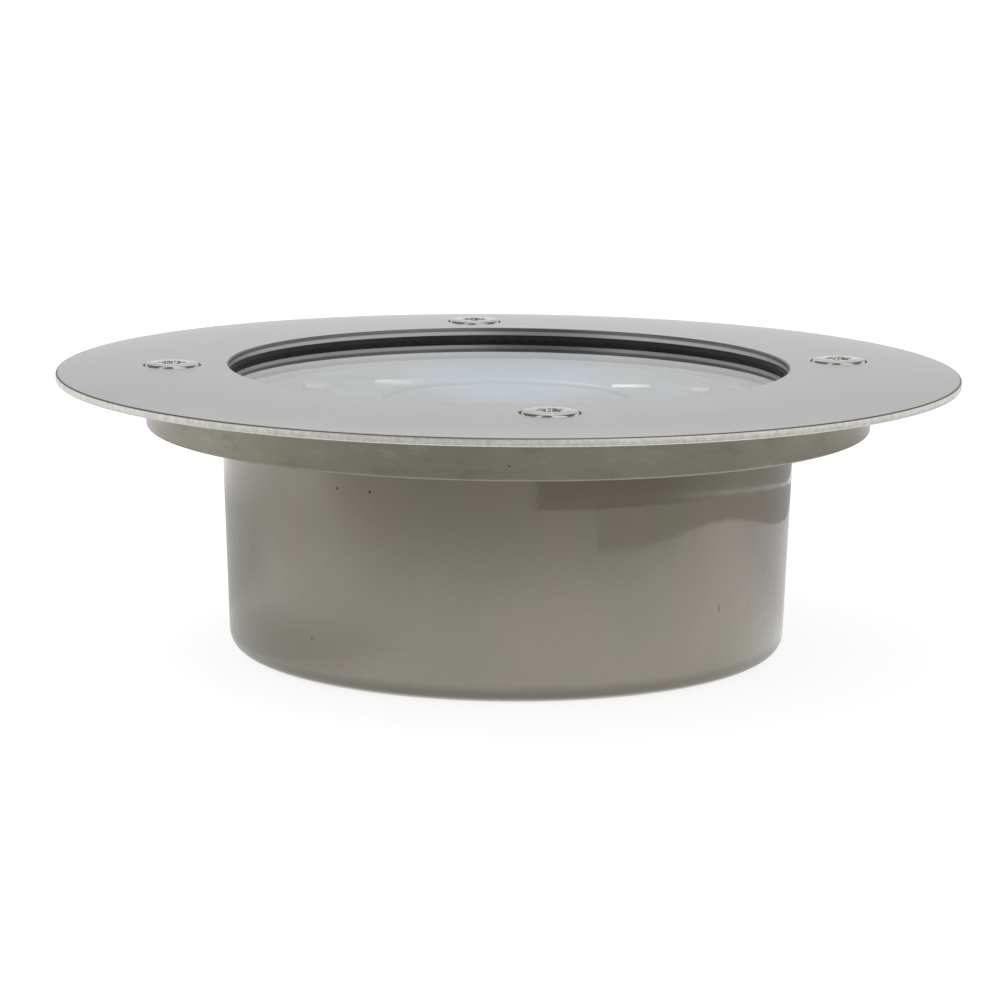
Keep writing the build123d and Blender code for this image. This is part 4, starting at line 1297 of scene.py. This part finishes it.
def roundCard(name, radius, finish, outer=None, low=0.0004, high=None, angles=None):
    # a flat ring on the table out to outer, or an upright band from low to high
    deselectAll()
    bpy.ops.mesh.primitive_circle_add(vertices=180, radius=radius, fill_type="NOTHING", location=(0, 0, low))
    card = bpy.context.object
    card.name = name
    bpy.ops.object.mode_set(mode="EDIT")
    bpy.ops.mesh.select_all(action="SELECT")
    bpy.ops.mesh.extrude_region_move(TRANSFORM_OT_translate={"value": (0, 0, (high or low) - low)})
    if outer:
        bpy.ops.transform.resize(value=(outer / radius, outer / radius, 1), center_override=(0, 0, low))
    if angles:
        keepAngles(card, *angles)
    bpy.ops.object.mode_set(mode="OBJECT")
    card.data.materials.append(finish)
    onlyMirrored(card)
    return card


def sheetEdge(shape):
    # (angle from the front, radius in mm) along a round edge with one swelling that turns out at its end
    first, last = shape["angles"]
    swellFirst, swellLast = cardLook["swellAngles"]
    edge = list(shape["corner"])
    for step in range(cardLook["sheetSteps"] + 1):
        angle = first + (last - first) * step / cardLook["sheetSteps"]
        along = max(min((angle - swellFirst) / (swellLast - swellFirst), 1.0), 0.0)
        swell = shape["swell"] * math.sin(math.pi * along) ** 2
        rise = shape["rise"] * max(angle - shape["riseFrom"], 0.0) ** 2
        edge.append((angle, shape["radius"] + swell + rise))
    return edge


def sheetCard(name, edge, outer, finish):
    # a flat sheet between its inner edge and an outer circle
    first, last = edge[0][0], edge[-1][0]
    steps = 8
    outline = list(edge) + [(last + (first - last) * step / steps, outer) for step in range(steps + 1)]
    deselectAll()
    height = cardLook["sheetHeight"]
    bpy.ops.mesh.primitive_circle_add(
        vertices=len(outline), radius=0.001, fill_type="NGON", location=(0, 0, height)
    )
    card = bpy.context.object
    card.name = name
    bpy.ops.object.transform_apply(location=True, rotation=False, scale=False)
    bpy.ops.object.mode_set(mode="EDIT")
    for number, (angle, radius) in enumerate(outline):
        bpy.ops.mesh.select_all(action="DESELECT")
        mesh = bmesh.from_edit_mesh(card.data)
        mesh.verts.ensure_lookup_table()
        vertex = mesh.verts[number]
        vertex.select_set(True)
        turn = math.radians(angle)
        step = Vector((radius * mm * math.sin(turn), -radius * mm * math.cos(turn), height)) - vertex.co
        bmesh.update_edit_mesh(card.data)
        bpy.ops.transform.translate(value=step)
    bpy.ops.object.mode_set(mode="OBJECT")
    card.data.materials.append(finish)
    onlyMirrored(card)


def wallCard(name, spot, size, finish):
    deselectAll()
    bpy.ops.mesh.primitive_plane_add(size=1.0, location=spot, rotation=(math.pi / 2, 0, 0))
    card = bpy.context.object
    card.name = name
    card.scale = (*size, 1)
    bpy.ops.object.transform_apply(location=True, rotation=True, scale=True)
    card.data.materials.append(finish)
    onlyMirrored(card)


def makeCards():
    look = cardLook
    finish, glow = glowFinish("tableShade", 1.0)
    radius, angle, height = axes(finish)
    dark, pale = look["tableDark"], look["tableFar"]
    near = ramp(finish, radius, look["darkFrom"], look["darkFull"], 0.0, 1.0 - dark, True)
    far = ramp(finish, radius, look["farFrom"], look["farFull"], 0.0, pale - dark, True)
    back = times(finish, radius, sums(finish, "SINE", angle))
    front = ramp(finish, back, look["frontFrom"], look["frontFull"], 0.0, 1.0, True)
    shade = times(finish, front, minus(finish, near, far))
    side = times(finish, radius, sums(finish, "COSINE", angle))
    # darker places, painted shade in the table that only mirrors show: left of the foot, behind the can, far
    # left, and the object's own shadow right under the can
    foot = ramp(finish, radius, *look["footRadii"], 0.0, look["footDark"], True)
    foot = times(finish, ramp(finish, side, *look["footSide"]), foot)
    behind = ramp(finish, side, *look["behindSide"], *look["behindDark"])
    behind = times(finish, ramp(finish, back, *look["behindBack"], 0.0, 1.0, True), behind)
    behind = times(finish, behind, ramp(finish, radius, *look["behindRadii"]))
    left = ramp(finish, side, *look["leftSide"], 0.0, look["leftDark"], True)
    left = times(finish, left, ramp(finish, radius, *look["leftRadii"]))
    contact = ramp(finish, radius, *look["contactRadii"], 0.0, look["contactDark"])
    for darker in (foot, behind, left, contact):
        shade = sums(finish, "MAXIMUM", shade, darker)
    feed(finish, minus(finish, look["tableNear"], shade), glow.inputs["Strength"])
    roundCard("tableCard", look["tableInner"], finish, look["tableOuter"])
    # the sheet grows paler towards its end behind the can
    dark, glow = glowFinish("darkSheet", look["sheetColor"])
    radius, angle, height = axes(dark)
    first, last = [math.radians(turn) for turn in look["sheetFade"]]
    tone = ramp(dark, angle, first, last, look["sheetColor"], look["sheetEnd"])
    feed(dark, tone, glow.inputs["Strength"])
    sheetCard("darkSheetNear", sheetEdge(look["sheetNear"]), look["sheetSlot"][0], dark)
    sheetCard("darkSheetFar", sheetEdge(look["sheetFar"]), look["sheetOuter"], dark)
    # the wall has one soft bluish patch of light, and two thin strip lamps hang in front of it
    wall, glow = glowFinish("greyWall", 1.0)
    spot = look["wallSpot"]
    x, y, z = corner(wall)
    aside = sums(wall, "DIVIDE", minus(wall, x, spot["place"][0]), spot["half"][0])
    up = sums(wall, "DIVIDE", minus(wall, z, spot["place"][1]), spot["half"][1])
    away = plus(wall, squared(wall, aside), squared(wall, up))
    grey = ramp(wall, z, *look["wallFade"], *look["wallGlow"], True)
    tone = mixColor(wall, ramp(wall, away, 1.0, 0.2, 0.0, 1.0, True), grey, spot["glow"])
    feed(wall, tone, glow.inputs["Color"])
    wallCard("wallCard", look["wallPlace"], look["wallSize"], wall)
    lamp, glow = glowFinish("stripLamps", look["stripGlow"][0])
    x, y, z = corner(lamp)
    fromMiddle = sums(lamp, "ABSOLUTE", minus(lamp, sums(lamp, "ABSOLUTE", x), look["stripMiddle"]))
    feed(lamp, ramp(lamp, fromMiddle, *look["stripFade"], *look["stripGlow"], True), glow.inputs["Strength"])
    for index, (aside, up, width) in enumerate(look["strips"]):
        spot = (aside, look["wallPlace"][1] - 0.01, up)
        wallCard("stripCard%d" % (index + 1), spot, (width, look["stripThickness"]), lamp)
    room, glow = glowFinish("darkRoom", look["roomGlow"])
    for index, (first, last, low) in enumerate(look["roomPanels"]):
        name = "roomPanel%d" % (index + 1)
        reach, top = look["roomRadius"], look["roomHeight"]
        roundCard(name, reach, room, None, low, top, (first, last))
        roundCard(name + "Roof", look["roofInner"], room, reach, top, None, (first, last))


makeStudio()
makeCards()
print("studio made")
